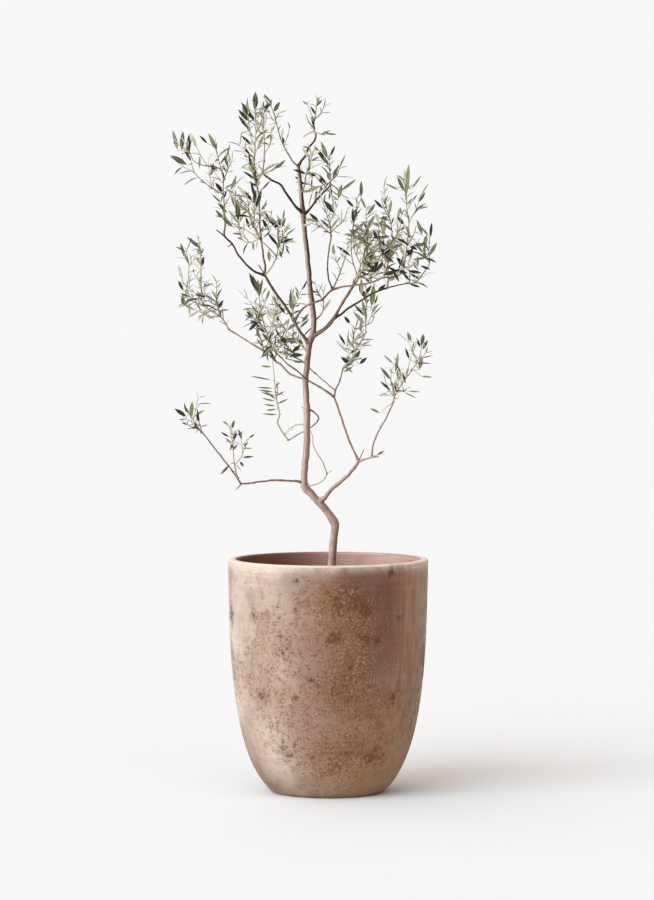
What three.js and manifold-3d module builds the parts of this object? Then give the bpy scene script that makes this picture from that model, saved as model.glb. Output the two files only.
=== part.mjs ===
// A young olive tree in a round ceramic pot, with soil to a little below the rim.
// Millimetres, +Z up, origin in the middle of the pot's flat underside.
// +X is to the right and -Y is towards the viewer.
import * as THREE from 'three';
import { mergeVertices } from 'three/addons/utils/BufferGeometryUtils.js';
import Module from 'manifold-3d';

const wasm = await Module();
wasm.setup();

// Running gap that keeps touching pieces apart.
const GAP = 0.3;

// Shorter edges than this are closed up after pieces are joined or cut.
const SMALLEST_EDGE = 0.02;
const SAME_POINT = 1e-5;

// Pot: a tub that swells out from a narrow foot and goes straight up to the rim.
const POT_HEIGHT = 470;
const POT_RADIUS = 202;
const POT_FOOT_RADIUS = 112;
const POT_SWELL_HEIGHT = 776;
const POT_SWELL_POWER = 4.94;
const POT_ROUNDNESS = 3.05;
const POT_FOOT_EDGE = 5;
const POT_WALL = 20;
const POT_FLOOR = 25;
const POT_RIM_ROUND = 7;
const POT_RIM_SHOULDER = 0.4;
const POT_SIDES = 32;
const POT_RINGS = 6;
const POT_INNER_RINGS = 4;
const POT_RING_POWER = 1.5;

// Soil level, on which the trunk stands.
const SOIL_LEVEL = 410;
const SOIL_SIDES = POT_SIDES / 2;

// Trunk: taper, flare above the soil and the swellings at its knees and forks.
const TRUNK_FOOT = 8;
const TRUNK_SUNK = 5;
const TRUNK_TIP = 3.8;
const TRUNK_FLARE = 5;
const TRUNK_FLARE_HEIGHT = 14;
const TRUNK_TAPER_POWER = 0.8;
const TRUNK_KNOT = 1.1;
const TRUNK_KNOT_LENGTH = 12;
const TRUNK_KNOT_HEIGHTS = [545, 616, 768, 908, 1165];
const TRUNK_SIDES = 7;
const TRUNK_STEP = 27;

// Boughs are five-sided, and the stems, shoots and twigs of the foliage three-sided.
const BOUGH_SIDES = 5;
const BOUGH_STEP = 41;
const STEM_SIDES = 3;
const STEM_STEP = 50;
const STEM_FOOT = 1.9;
const STEM_TIP = 1.1;
const SHOOT_FOOT = 1.5;
const TWIG_FOOT = 1.25;
const TWIG_TIP = 0.9;

// Leaves: a long narrow blade, set in opposite pairs that turn a quarter from node to node.
const LEAF_LENGTH = 37;
const LEAF_WIDTH_SHARE = 0.27;
const LEAF_THICKNESS = 1.2;
const LEAF_SUNK = 0.45;
const LEAF_ANGLE = 52;
const LEAF_ANGLE_SPREAD = 14;
const LEAF_LENGTH_SPREAD = 0.22;
const LEAF_ROLL_SPREAD = 70;
const LEAF_DROOP = 0.18;
const LEAF_APART = 5;
const TIP_LEAVES = [[0, 26], [180, 26], [90, 4]];
const PAIR_EVERY = 42;
const SHOOT_BARE_SHARE = 0.5;
const TWIG_BARE_SHARE = 0.8;
const QUARTER_TURN = 90;
const TURN_SPREAD = 15;

// Twigs: short side growths along a stem or shoot.
const TWIG_EVERY = 104;
const TWIG_LENGTH = 38;
const TWIG_LENGTH_SPREAD = 0.35;
const TWIG_ANGLE = 48;
const TWIG_RISE = 0.22;
const TWIG_TURN = 137.5;
const TWIG_FREE_END = 12.6;
const TWIG_TEST_SHARES = [0.6, 1];

// Own space of a foliage mass: how far it reaches from its stem and shoots, how much nearer
// to them than to those of any other mass it stays, and how clear of the limbs it keeps.
// A leaf is tested at these shares of its length and width.
const REACH = 62;
const SPACE_MARGIN = 1.2;
const LIMB_CLEARANCE = 0.8;
const SAMPLE_STEP = 5;
const LEAF_TEST_PLACES = [[1, 0], [0.5, 0.5], [0.5, -0.5], [0.75, 0], [0.3, 0]];
const LEAF_OUTER_PLACES = 4;

// Limbs whose feet are nearer to each other than this are cut clear of each other.
const FOOT_NEIGHBOURHOOD = 14;
const FOOT_SEARCH_STEP = 2;

// Below these lengths a vector across a limb, or the face of a leaf, has no sure direction.
const NEARLY_UPRIGHT = 0.2;
const NEARLY_ALONG = 0.1;

const RANDOM_FACTOR = 1664525;
const RANDOM_STEP = 1013904223;
const RANDOM_RANGE = 2 ** 32;

const UP = new THREE.Vector3(0, 0, 1);
const AWAY = new THREE.Vector3(0, 1, 0);

// Limbs, from the trunk outwards. A route runs from the limb's foot to its tip, and its first
// point is moved onto the axis of the limb that carries it.
const TRUNK_ROUTE = [
  [7, 0, SOIL_LEVEL - TRUNK_SUNK], [8, 0, 460], [11, 1, 505], [14, 2, 538], [5, 2, 555], [-13, 1, 578],
  [-32, 0, 599], [-46, -1, 614], [-48, -2, 632], [-45, -2, 670], [-42, -1, 725], [-43, 0, 780],
  [-45, 1, 825], [-41, 2, 868], [-37, 2, 902], [-29, 1, 930], [-29, 0, 960], [-34, 0, 995],
  [-38, -1, 1040], [-43, -2, 1090], [-49, -1, 1150], [-53, 0, 1195], [-60, 2, 1257],
];

const BOUGHS = [
  { name: 'leader', from: 'trunk', foot: 3.2, tip: 2.3,
    route: [[-60, 3, 1257], [-54, 3, 1266], [-44, 4, 1280], [-39, 6, 1294], [-28, 9, 1308],
      [-24, 9, 1318]] },
  { name: 'left-upper-bough', from: 'trunk', foot: 3.4, tip: 2.4,
    route: [[-51, -2, 1166], [-64, -14, 1172], [-80, -27, 1196], [-97, -39, 1221], [-114, -48, 1229],
      [-130, -57, 1242]] },
  { name: 'right-upper-bough', from: 'trunk', foot: 3.0, tip: 2.1,
    route: [[-50, -2, 1160], [-38, 9, 1170], [-23, 24, 1190], [-8, 39, 1206], [5, 51, 1221]] },
  { name: 'right-main-bough', from: 'trunk', foot: 3.9, tip: 2.7,
    route: [[-31, 2, 916], [-15, -6, 925], [0, -14, 938], [12, -20, 953], [30, -24, 985], [45, -30, 1009],
      [57, -34, 1027]] },
  { name: 'right-outer-bough', from: 'right-main-bough', foot: 2.9, tip: 2.2,
    route: [[12, -20, 953], [24, -12, 960], [42, 0, 975], [67, 15, 989], [95, 33, 1005],
      [120, 48, 1014]] },
  { name: 'left-main-bough', from: 'trunk', foot: 4.2, tip: 3.5,
    route: [[-37, 3, 901], [-48, -2, 915], [-58, -8, 930], [-68, -12, 947]] },
  { name: 'left-main-arm', from: 'left-main-bough', foot: 3.4, tip: 3.0,
    route: [[-68, -12, 947], [-80, -18, 968], [-97, -24, 993], [-110, -30, 1012], [-119, -34, 1026],
      [-126, -39, 1039]] },
  { name: 'crossing-bough', from: 'left-main-bough', foot: 2.8, tip: 2.3,
    route: [[-68, -12, 947], [-60, -20, 960], [-48, -27, 974], [-33, -33, 983], [-12, -36, 990],
      [0, -42, 1003], [9, -46, 1011]] },
  { name: 'right-front-bough', from: 'crossing-bough', foot: 2.3, tip: 1.9,
    route: [[9, -46, 1011], [28, -54, 1016], [50, -63, 1019], [80, -75, 1023], [110, -87, 1035]] },
  { name: 'inner-riser', from: 'crossing-bough', foot: 1.9, tip: 1.6,
    route: [[9, -46, 1011], [1, -57, 1030], [-1, -64, 1052], [0, -70, 1075], [4, -75, 1100],
      [6, -78, 1116]] },
  { name: 'left-arm', from: 'left-main-arm', foot: 2.8, tip: 2.1,
    route: [[-126, -39, 1039], [-145, -51, 1046], [-163, -66, 1061], [-178, -78, 1080], [-190, -90, 1101],
      [-205, -102, 1117], [-203, -110, 1136]] },
  { name: 'left-upright', from: 'left-main-arm', foot: 2.6, tip: 2.1,
    route: [[-126, -39, 1039], [-126, -18, 1056], [-130, 3, 1080], [-134, 24, 1106]] },
  { name: 'left-top-bough', from: 'left-upright', foot: 2.1, tip: 1.7,
    route: [[-134, 24, 1106], [-137, 39, 1140], [-139, 54, 1190]] },
  { name: 'right-low-bough', from: 'trunk', foot: 4.1, tip: 3.0,
    route: [[-19, 2, 584], [-6, -6, 593], [5, -12, 609], [30, -22, 630], [50, -32, 650], [61, -38, 667]] },
  { name: 'right-riser', from: 'right-low-bough', foot: 2.9, tip: 2.3,
    route: [[61, -38, 667], [52, -39, 687], [40, -39, 715], [30, -39, 745], [20, -39, 775],
      [12, -39, 796]] },
  { name: 'right-mid-bough', from: 'right-riser', foot: 2.0, tip: 1.7,
    route: [[12, -39, 796], [15, -32, 809], [22, -16, 825], [28, 0, 843], [30, 9, 852]] },
  { name: 'long-left-bough', from: 'right-riser', foot: 2.6, tip: 2.2,
    route: [[12, -39, 796], [-3, -40, 808], [-22, -39, 819], [-43, -33, 830], [-62, -24, 836],
      [-78, -15, 843],
      [-95, -6, 860], [-113, 3, 874], [-130, 15, 888]] },
  { name: 'long-left-arm', from: 'long-left-bough', foot: 2.2, tip: 1.8,
    route: [[-130, 15, 888], [-157, 30, 904], [-176, 42, 915], [-200, 57, 929]] },
  { name: 'upper-left-bough', from: 'long-left-bough', foot: 1.9, tip: 1.6,
    route: [[-40, -34, 829], [-50, -48, 838], [-60, -57, 848], [-78, -69, 861], [-95, -81, 878],
      [-113, -90, 896]] },
  { name: 'hidden-twig', from: 'right-mid-bough', foot: 1.6, tip: 1.4,
    route: [[15, -32, 809], [4, -12, 817], [-8, 6, 828], [-22, 18, 839], [-38, 28, 853], [-52, 38, 864],
      [-68, 45, 867], [-84, 51, 871]] },
  { name: 'right-low-arm', from: 'right-low-bough', foot: 2.5, tip: 2.1,
    route: [[61, -38, 667], [70, -48, 671], [86, -64, 677]] },
  { name: 'right-low-riser', from: 'right-low-arm', foot: 2.1, tip: 1.8,
    route: [[86, -64, 677], [89, -78, 700], [96, -88, 720], [106, -99, 741], [118, -111, 763],
      [129, -120, 788]] },
  { name: 'loop-twig', from: 'trunk', foot: 1.9, tip: 1.6,
    route: [[-43, 0, 768], [-35, 8, 768], [-26, 14, 762], [-18, 18, 753], [-22, 22, 744], [-35, 27, 733],
      [-50, 30, 724], [-66, 34, 715], [-80, 39, 706]] },
  { name: 'left-low-bough', from: 'trunk', foot: 2.6, tip: 2.1,
    route: [[-47, -3, 622], [-62, -9, 626], [-90, -18, 628], [-115, -27, 628], [-140, -36, 626],
      [-174, -48, 623]] },
  { name: 'left-low-arm', from: 'left-low-bough', foot: 2.1, tip: 1.7,
    route: [[-174, -48, 623], [-185, -50, 640], [-196, -54, 656], [-222, -69, 690], [-243, -81, 718],
      [-251, -84, 728]] },
  { name: 'back-right-bough', from: 'trunk', foot: 3.0, tip: 2.2,
    route: [[-31, 2, 920], [-15, 24, 927], [0, 48, 940], [13, 72, 956], [31, 102, 987], [47, 129, 1012]] },
];

// Foliage masses. Each has one stem, from its bough's tip or the trunk, and the shoots that part
// from it. leaf is the leaf's length and bare the leafless start of the stem.
const MASSES = [
  { name: 'leaves-top', from: 'leader', leaf: 21, bare: 10, pairEvery: 28, twigEvery: Infinity,
    stem: [[-24, 9, 1318], [-29, 10, 1337], [-25, 12, 1362], [-22, 14, 1387]],
    shoots: [[[-29, 10, 1334], [-38, 0, 1344], [-44, -9, 1360]],
      [[-26, 12, 1352], [-15, 21, 1362], [-9, 26, 1376]],
      [[-25, 9, 1326], [-16, 0, 1322], [-6, -9, 1322]],
      [[-26, 9, 1328], [-38, 15, 1324], [-50, 21, 1316]]] },
  { name: 'leaves-top-left', from: 'trunk', leaf: 26, bare: 64, pairEvery: 22, twigEvery: Infinity,
    stem: [[-60, 3, 1257], [-70, -6, 1266], [-78, -12, 1279], [-86, -18, 1292], [-95, -24, 1312],
      [-101, -28, 1335], [-107, -33, 1358], [-113, -36, 1374]],
    shoots: [[[-104, -30, 1350], [-98, -15, 1362]]] },
  { name: 'leaves-front-top', from: 'trunk', leaf: 38, bare: 50, pairEvery: 20,
    stem: [[-54, 0, 1203], [-48, -18, 1215], [-44, -30, 1238], [-37, -39, 1260], [-28, -45, 1286]],
    shoots: [[[-44, -30, 1240], [-36, -51, 1244], [-26, -63, 1240]]] },
  { name: 'leaves-left-upper', from: 'left-upper-bough', bare: 22, leaf: 32,
    stem: [[-130, -57, 1242], [-127, -63, 1270], [-126, -68, 1305], [-129, -72, 1345]],
    shoots: [[[-127, -64, 1280], [-116, -84, 1296], [-112, -96, 1320]]] },
  { name: 'leaves-right-upper', from: 'right-upper-bough', bare: 6, leaf: 35, pairEvery: 30,
    stem: [[5, 51, 1221], [4, 57, 1250], [2, 63, 1272]],
    shoots: [[[5, 52, 1228], [17, 63, 1240], [23, 72, 1254]],
      [[5, 51, 1223], [18, 66, 1214], [30, 78, 1200]],
      [[4, 52, 1226], [-12, 57, 1220], [-30, 60, 1210]], [[5, 51, 1222], [6, 30, 1206], [10, 12, 1190]]] },
  { name: 'leaves-right-core', from: 'right-main-bough', bare: 4, leaf: 37,
    stem: [[57, -34, 1027], [66, -39, 1045], [75, -42, 1070], [80, -45, 1100], [76, -48, 1130]],
    shoots: [[[60, -36, 1034], [49, -39, 1068], [46, -42, 1100], [50, -45, 1136], [60, -48, 1176],
      [66, -51, 1192]],
      [[62, -38, 1037], [80, -24, 1032], [98, -12, 1040]],
      [[72, -42, 1060], [86, -18, 1072], [92, 0, 1090]]] },
  { name: 'leaves-right-middle', from: 'right-front-bough', bare: 4,
    stem: [[110, -87, 1035], [118, -96, 1062], [126, -104, 1095], [125, -110, 1135], [116, -114, 1170],
      [112, -117, 1182]],
    shoots: [[[120, -98, 1070], [106, -132, 1084], [98, -156, 1104]],
      [[126, -105, 1104], [140, -138, 1128], [144, -156, 1158]]] },
  { name: 'leaves-right-front', from: 'right-front-bough', bare: 34,
    stem: [[110, -87, 1035], [130, -75, 1036], [147, -63, 1044], [153, -54, 1070], [158, -48, 1105],
      [161, -42, 1140], [157, -39, 1175], [156, -36, 1222]],
    shoots: [[[157, -50, 1098], [170, -33, 1118], [176, -24, 1138]],
      [[132, -74, 1036], [142, -93, 1048], [150, -111, 1068]]] },
  { name: 'leaves-right-outer', from: 'right-outer-bough', bare: 46, leaf: 32, pairEvery: 34,
    stem: [[120, 48, 1014], [150, 57, 1021], [178, 64, 1026], [193, 69, 1044], [205, 74, 1062],
      [204, 78, 1090], [206, 82, 1118]],
    shoots: [[[164, 62, 1024], [166, 90, 1040], [164, 123, 1064]],
      [[205, 74, 1066], [196, 54, 1080], [190, 39, 1098]]] },
  { name: 'leaves-right-back', from: 'right-outer-bough', bare: 14,
    stem: [[120, 48, 1014], [122, 75, 1040], [119, 111, 1078], [113, 138, 1114], [110, 153, 1138]],
    shoots: [[[120, 99, 1066], [138, 126, 1092], [146, 147, 1122]]] },
  { name: 'leaves-right-inner', from: 'inner-riser', bare: 6, leaf: 32,
    stem: [[6, -78, 1116], [4, -84, 1135], [-2, -90, 1158], [-9, -93, 1180]],
    shoots: [[[5, -81, 1124], [18, -81, 1136], [30, -81, 1146], [38, -81, 1168]],
      [[5, -80, 1121], [-6, -96, 1130], [-18, -105, 1144]]] },
  { name: 'leaves-inner-low', from: 'crossing-bough', bare: 20, leaf: 26,
    stem: [[9, -46, 1011], [18, -39, 1030], [28, -30, 1056], [36, -21, 1080], [40, -15, 1098]],
      shoots: [] },
  { name: 'leaves-beside-trunk', from: 'trunk', bare: 30, leaf: 30,
    stem: [[-29, 0, 947], [-20, 10, 954], [-11, 18, 966], [-9, 24, 984], [-9, 30, 1004]], shoots: [] },
  { name: 'leaves-fork', from: 'left-main-bough', bare: 12, leaf: 32, pairEvery: 22,
    stem: [[-68, -12, 947], [-70, -24, 958], [-70, -39, 974], [-72, -48, 994]], shoots: [] },
  { name: 'leaves-left-high', from: 'left-arm', bare: 18, pairEvery: 40,
    stem: [[-203, -110, 1136], [-204, -120, 1165], [-206, -129, 1200], [-207, -135, 1232], [-214, -141, 1262],
      [-221, -147, 1288]],
    shoots: [[[-206, -129, 1198], [-228, -138, 1211], [-252, -144, 1229], [-264, -147, 1244],
      [-268, -150, 1262]],
      [[-207, -134, 1222], [-199, -117, 1244], [-190, -102, 1264]],
      [[-256, -146, 1236], [-262, -156, 1262], [-274, -162, 1290]]] },
  { name: 'leaves-left-top', from: 'left-top-bough', bare: 6, leaf: 38,
    stem: [[-139, 54, 1190], [-143, 63, 1222], [-148, 72, 1256], [-148, 78, 1292], [-146, 84, 1335],
      [-147, 87, 1374]],
    shoots: [[[-147, 70, 1246], [-158, 87, 1268], [-163, 99, 1290]],
      [[-148, 78, 1300], [-157, 93, 1322], [-161, 102, 1350]],
      [[-146, 82, 1326], [-136, 93, 1346], [-133, 99, 1374]],
      [[-144, 66, 1230], [-134, 99, 1250], [-128, 123, 1274]]] },
  { name: 'leaves-left-centre', from: 'left-upright', bare: 6, pairEvery: 34,
    stem: [[-134, 24, 1106], [-144, 12, 1128], [-155, 3, 1154], [-161, -3, 1190]],
    shoots: [[[-140, 16, 1120], [-126, -12, 1132], [-116, -30, 1148], [-112, -42, 1168]],
      [[-138, 20, 1115], [-156, 32, 1105], [-172, 39, 1110], [-180, 48, 1140], [-184, 54, 1170]],
      [[-150, 8, 1142], [-148, 36, 1158], [-148, 66, 1178]]] },
  { name: 'leaves-left-inner', from: 'left-main-arm', bare: 50, leaf: 33,
    stem: [[-126, -39, 1039], [-113, -60, 1055], [-102, -74, 1076], [-99, -82, 1100], [-98, -88, 1128],
      [-100, -93, 1148]],
    shoots: [[[-99, -81, 1096], [-94, -99, 1104], [-90, -114, 1116]]],
    bareShoots: [[[-102, -72, 1078], [-120, -81, 1096], [-145, -84, 1117], [-168, -75, 1132],
      [-186, -63, 1142]]] },
  { name: 'leaves-left-far', from: 'long-left-arm', bare: 10, leaf: 34, pairEvery: 40,
    stem: [[-200, 57, 929], [-216, 66, 954], [-237, 75, 967], [-253, 84, 980], [-257, 90, 1010],
      [-258, 99, 1052], [-259, 105, 1090], [-263, 108, 1112]],
    shoots: [[[-250, 82, 977], [-270, 99, 984], [-289, 114, 997], [-285, 129, 1030], [-284, 138, 1062],
      [-289, 144, 1086]],
      [[-216, 66, 954], [-222, 48, 976], [-224, 33, 1000], [-224, 21, 1024]],
      [[-236, 78, 966], [-252, 99, 962], [-270, 111, 968]]] },
  { name: 'leaves-front-left', from: 'upper-left-bough', bare: 6, leaf: 38,
    stem: [[-113, -90, 896], [-121, -105, 925], [-130, -120, 955], [-134, -132, 982], [-137, -141, 1004]],
    shoots: [[[-121, -108, 930], [-137, -129, 946], [-150, -147, 960]],
      [[-113, -90, 898], [-96, -108, 898], [-80, -120, 908]],
      [[-113, -90, 897], [-92, -105, 884], [-72, -114, 880]]] },
  { name: 'leaves-mid-left', from: 'long-left-bough', bare: 8, leaf: 36,
    stem: [[-130, 15, 888], [-134, 0, 908], [-142, -12, 932], [-150, -21, 952]],
    shoots: [[[-132, 8, 898], [-120, -15, 892], [-124, -36, 880]],
      [[-131, 12, 892], [-112, -9, 906], [-90, -24, 914]]] },
  { name: 'leaves-behind-trunk', from: 'hidden-twig', bare: 5, leaf: 32, pairEvery: 24,
    stem: [[-84, 51, 871], [-88, 60, 893], [-86, 66, 916], [-82, 69, 936]],
    shoots: [[[-84, 52, 876], [-72, 63, 884], [-60, 72, 894]]] },
  { name: 'leaves-right-mid', from: 'right-mid-bough', bare: 6, leaf: 37, pairEvery: 34,
    stem: [[30, 9, 852], [44, 24, 860], [54, 39, 878], [50, 57, 903], [54, 69, 930]],
    shoots: [[[52, 45, 888], [66, 54, 903], [76, 62, 924], [76, 70, 950], [78, 78, 980]],
      [[36, 15, 855], [40, -6, 862], [52, -24, 872]],
      [[77, 62, 936], [88, 74, 944], [94, 84, 958]]] },
  { name: 'leaves-right-low', from: 'right-low-riser', bare: 8, pairEvery: 44,
    stem: [[129, -120, 788], [131, -129, 808], [124, -144, 828], [124, -159, 848]],
    shoots: [[[131, -126, 800], [148, -120, 828], [166, -114, 852], [180, -108, 876], [186, -105, 902]],
      [[131, -128, 806], [146, -147, 812], [162, -162, 820]],
      [[131, -124, 798], [138, -96, 812], [140, -69, 832]],
      [[130, -124, 800], [118, -111, 816], [112, -102, 836]]] },
  { name: 'leaves-low-right', from: 'right-low-arm', bare: 6, leaf: 18, pairEvery: 12, twigEvery: Infinity,
    stem: [[86, -64, 677], [95, -75, 681], [103, -81, 684]], shoots: [] },
  { name: 'leaves-loop', from: 'loop-twig', bare: 78, leaf: 31,
    stem: [[-80, 39, 706], [-96, 46, 722], [-108, 54, 742], [-102, 63, 757], [-110, 75, 780],
      [-119, 84, 805],
      [-121, 93, 832], [-120, 99, 848]],
    shoots: [[[-113, 80, 792], [-106, 108, 804], [-104, 132, 822]],
      [[-90, 44, 716], [-80, 60, 726], [-66, 69, 736]]] },
  { name: 'leaves-left-low-tip', from: 'left-low-arm', bare: 8, leaf: 31, pairEvery: 28, twigEvery: Infinity,
    stem: [[-251, -84, 728], [-262, -90, 742], [-274, -94, 764]],
    shoots: [[[-255, -86, 732], [-268, -102, 738], [-278, -114, 744]],
      [[-252, -84, 730], [-252, -108, 740], [-256, -129, 752]]] },
  { name: 'leaves-left-low', from: 'left-low-bough', bare: 30, leaf: 27, pairEvery: 38,
    stem: [[-174, -48, 623], [-181, -75, 640], [-186, -90, 665], [-188, -102, 692], [-188, -111, 722]],
    shoots: [[[-185, -88, 662], [-172, -114, 680], [-164, -132, 700]]] },
  { name: 'leaves-back-right', from: 'back-right-bough', bare: 8,
    stem: [[47, 129, 1012], [62, 147, 1046], [76, 162, 1090], [82, 171, 1126]],
    shoots: [[[68, 152, 1060], [56, 174, 1086], [52, 192, 1116]],
      [[58, 142, 1036], [80, 177, 1042], [98, 207, 1060]]] },
  { name: 'leaves-back-left', from: 'trunk', bare: 86, pairEvery: 42,
    stem: [[-40, 3, 882], [-48, 24, 892], [-66, 60, 910], [-90, 96, 932], [-110, 126, 950],
      [-128, 150, 976],
      [-136, 165, 998]],
    shoots: [[[-106, 120, 946], [-104, 156, 966], [-108, 186, 992]],
      [[-98, 108, 938], [-122, 126, 934], [-146, 141, 942]]] },
  { name: 'bare-twig', from: 'trunk', leaf: 0,
    stem: [[-47, -3, 617], [-34, -10, 618], [-20, -18, 622], [-8, -27, 631], [-1, -33, 643],
      [8, -36, 650]],
    shoots: [],
    bareShoots: [[[-2, -32, 641], [-10, -39, 665], [-20, -42, 681], [-30, -42, 702], [-31, -42, 718],
      [-36, -39, 730]]] },
];

// Materials, one function for each kind of surface.
function stonewareMaterial() {
  return new THREE.MeshStandardMaterial({ color: 0xb08e78, roughness: 0.6, metalness: 0 });
}

function soilMaterial() {
  return new THREE.MeshStandardMaterial({ color: 0x3d2f26, roughness: 1, metalness: 0 });
}

function barkMaterial() {
  return new THREE.MeshStandardMaterial({ color: 0x8c7561, roughness: 0.9, metalness: 0 });
}

function leafMaterial() {
  return new THREE.MeshStandardMaterial({ color: 0x6f7d5c, roughness: 0.6, metalness: 0 });
}

// Repeatable random numbers from 0 to 1.
function seededRandom(seed) {
  let state = seed >>> 0;
  return () => {
    state = (Math.imul(state, RANDOM_FACTOR) + RANDOM_STEP) >>> 0;
    return state / RANDOM_RANGE;
  };
}

// A random amount either way, at most as large as the spread.
function eitherWay(random, spread) {
  return spread * (2 * random() - 1);
}

// A three.js geometry as a solid that can be cut and joined, and back again.
function toSolid(geometry) {
  geometry.deleteAttribute('normal');
  geometry.deleteAttribute('uv');
  const merged = mergeVertices(geometry, SAME_POINT);
  return new wasm.Manifold(new wasm.Mesh({
    numProp: 3,
    vertProperties: new Float32Array(merged.attributes.position.array),
    triVerts: new Uint32Array(merged.index.array),
  }));
}

function toGeometry(solid) {
  const mesh = solid.getMesh();
  const geometry = new THREE.BufferGeometry();
  geometry.setAttribute('position', new THREE.BufferAttribute(new Float32Array(mesh.vertProperties), 3));
  geometry.setIndex(new THREE.BufferAttribute(new Uint32Array(mesh.triVerts), 1));
  geometry.computeVertexNormals();
  return geometry;
}

// The largest closed body of a solid, without loose scrap or sealed hollows.
function mainBody(solid) {
  const bodies = solid.decompose();
  const largest = bodies.reduce((best, body) => (body.volume() > best.volume() ? body : best));
  return largest.simplify(SMALLEST_EDGE);
}

function smoothRoute(points) {
  const vectors = points.map((point) => new THREE.Vector3(...point));
  return new THREE.CatmullRomCurve3(vectors, false, 'centripetal');
}

function stretches(route) {
  return Math.max(1, Math.round(route.getLength() / STEM_STEP));
}

// A route as a few straight stretches, so that what is set on it meets a coarse tube's axis.
function kinked(route) {
  const points = route.getSpacedPoints(stretches(route));
  const path = new THREE.CurvePath();
  points.slice(1).forEach((point, i) => path.add(new THREE.LineCurve3(points[i], point)));
  return path;
}

// A capped cylinder bent along a route, with the radius that radiusAt gives for each share of
// its length. Both ends can be made longer.
function bentCylinder(route, radiusAt, steps, sides, extraEnd = 0) {
  const geometry = new THREE.CylinderGeometry(1, 1, 1, sides, steps);
  const frames = route.computeFrenetFrames(steps, false);
  const position = geometry.attributes.position;
  const point = new THREE.Vector3();
  for (let i = 0; i < position.count; i += 1) {
    const share = THREE.MathUtils.clamp(position.getY(i) + 0.5, 0, 1);
    const step = Math.round(share * steps);
    const radius = radiusAt(share);
    route.getPointAt(share, point);
    point.addScaledVector(frames.normals[step], radius * position.getX(i));
    point.addScaledVector(frames.binormals[step], -radius * position.getZ(i));
    if (step === 0) point.addScaledVector(frames.tangents[0], -extraEnd);
    if (step === steps) point.addScaledVector(frames.tangents[steps], extraEnd);
    position.setXYZ(i, point.x, point.y, point.z);
  }
  return toSolid(geometry);
}

function straightTaper(foot, tip) {
  return (share) => foot + (tip - foot) * share;
}

function trunkRadius(route) {
  const point = new THREE.Vector3();
  return (share) => {
    route.getPointAt(share, point);
    const taper = TRUNK_FOOT + (TRUNK_TIP - TRUNK_FOOT) * share ** TRUNK_TAPER_POWER;
    const flare = TRUNK_FLARE * Math.exp((SOIL_LEVEL - point.z) / TRUNK_FLARE_HEIGHT);
    const knots = TRUNK_KNOT_HEIGHTS
      .map((height) => Math.exp(-(((point.z - height) / TRUNK_KNOT_LENGTH) ** 2)))
      .reduce((sum, knot) => sum + knot, 0);
    return taper + flare + TRUNK_KNOT * knots;
  };
}

// A limb: its route, radius and number of faces, from which its solid and a grown copy are made.
function makeLimb(name, route, radiusAt, sides, stepLength) {
  const steps = Math.max(2, Math.round(route.getLength() / stepLength));
  return { name, route, radiusAt, sides, steps, foot: route.getPointAt(0) };
}

function limbSolid(limb, grow = 0) {
  const extra = grow / Math.cos(Math.PI / limb.sides);
  return bentCylinder(limb.route, (share) => limb.radiusAt(share) + extra, limb.steps, limb.sides, grow);
}

function nearestOnRoute(route, target) {
  const samples = route.getSpacedPoints(Math.ceil(route.getLength() / FOOT_SEARCH_STEP));
  const nearer = (best, point) => (point.distanceTo(target) < best.distanceTo(target) ? point : best);
  return samples.reduce(nearer);
}

function routeFrom(parent, points) {
  const route = smoothRoute(points);
  route.points[0].copy(nearestOnRoute(parent.route, route.points[0]));
  return route;
}

// A solid cut clear of the limb that carries it and of limbs whose foot is beside its own.
function cutClear(solid, limb, parent, others) {
  const beside = others.filter((other) => other !== parent
    && other.foot.distanceTo(limb.foot) < FOOT_NEIGHBOURHOOD);
  const cut = [parent, ...beside].reduce((rest, other) => rest.subtract(limbSolid(other, GAP)), solid);
  return mainBody(cut);
}

function sampled(routes) {
  return routes.flatMap((route) => route.getSpacedPoints(Math.ceil(route.getLength() / SAMPLE_STEP)));
}

function nearestDistance(point, samples) {
  let best = Infinity;
  for (const sample of samples) best = Math.min(best, point.distanceToSquared(sample));
  return Math.sqrt(best);
}

// The own space of a mass, as a test that a point with a little room round it has to pass.
function spaceTest(mass, masses, limbs) {
  const rivals = masses.filter((other) => other !== mass).flatMap((other) => other.samples);
  return (point, room) => {
    const own = nearestDistance(point, mass.samples);
    if (own > REACH || nearestDistance(point, rivals) < own + SPACE_MARGIN) return false;
    return limbs.every((limb) => limb.samples.every(([sample, radius]) => (
      point.distanceTo(sample) > radius + room + LIMB_CLEARANCE)));
  };
}

// A unit vector across the route, turned about its tangent by an angle in degrees.
function sideways(tangent, degrees) {
  const level = new THREE.Vector3().crossVectors(tangent, UP);
  if (level.length() < NEARLY_UPRIGHT) level.crossVectors(tangent, AWAY);
  return level.normalize().applyAxisAngle(tangent, THREE.MathUtils.degToRad(degrees));
}

// The tangent turned towards that side by an angle in degrees.
function leaning(tangent, side, degrees) {
  const angle = THREE.MathUtils.degToRad(degrees);
  return tangent.clone().multiplyScalar(Math.cos(angle)).addScaledVector(side, Math.sin(angle));
}

// One leaf at a point of a route: its place, size and the way its blade faces.
function drawLeaf(random, root, tangent, side, degrees, length) {
  const angle = degrees + eitherWay(random, LEAF_ANGLE_SPREAD);
  const leafLength = length * (1 + eitherWay(random, LEAF_LENGTH_SPREAD));
  const roll = eitherWay(random, LEAF_ROLL_SPREAD);
  const direction = leaning(tangent, side, angle);
  direction.z -= LEAF_DROOP * random();
  direction.normalize();
  const face = tangent.clone().addScaledVector(direction, -tangent.dot(direction));
  if (face.length() < NEARLY_ALONG) face.copy(side);
  face.normalize().applyAxisAngle(direction, THREE.MathUtils.degToRad(roll));
  return { root, direction, face, length: leafLength, width: leafLength * LEAF_WIDTH_SHARE };
}

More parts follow.
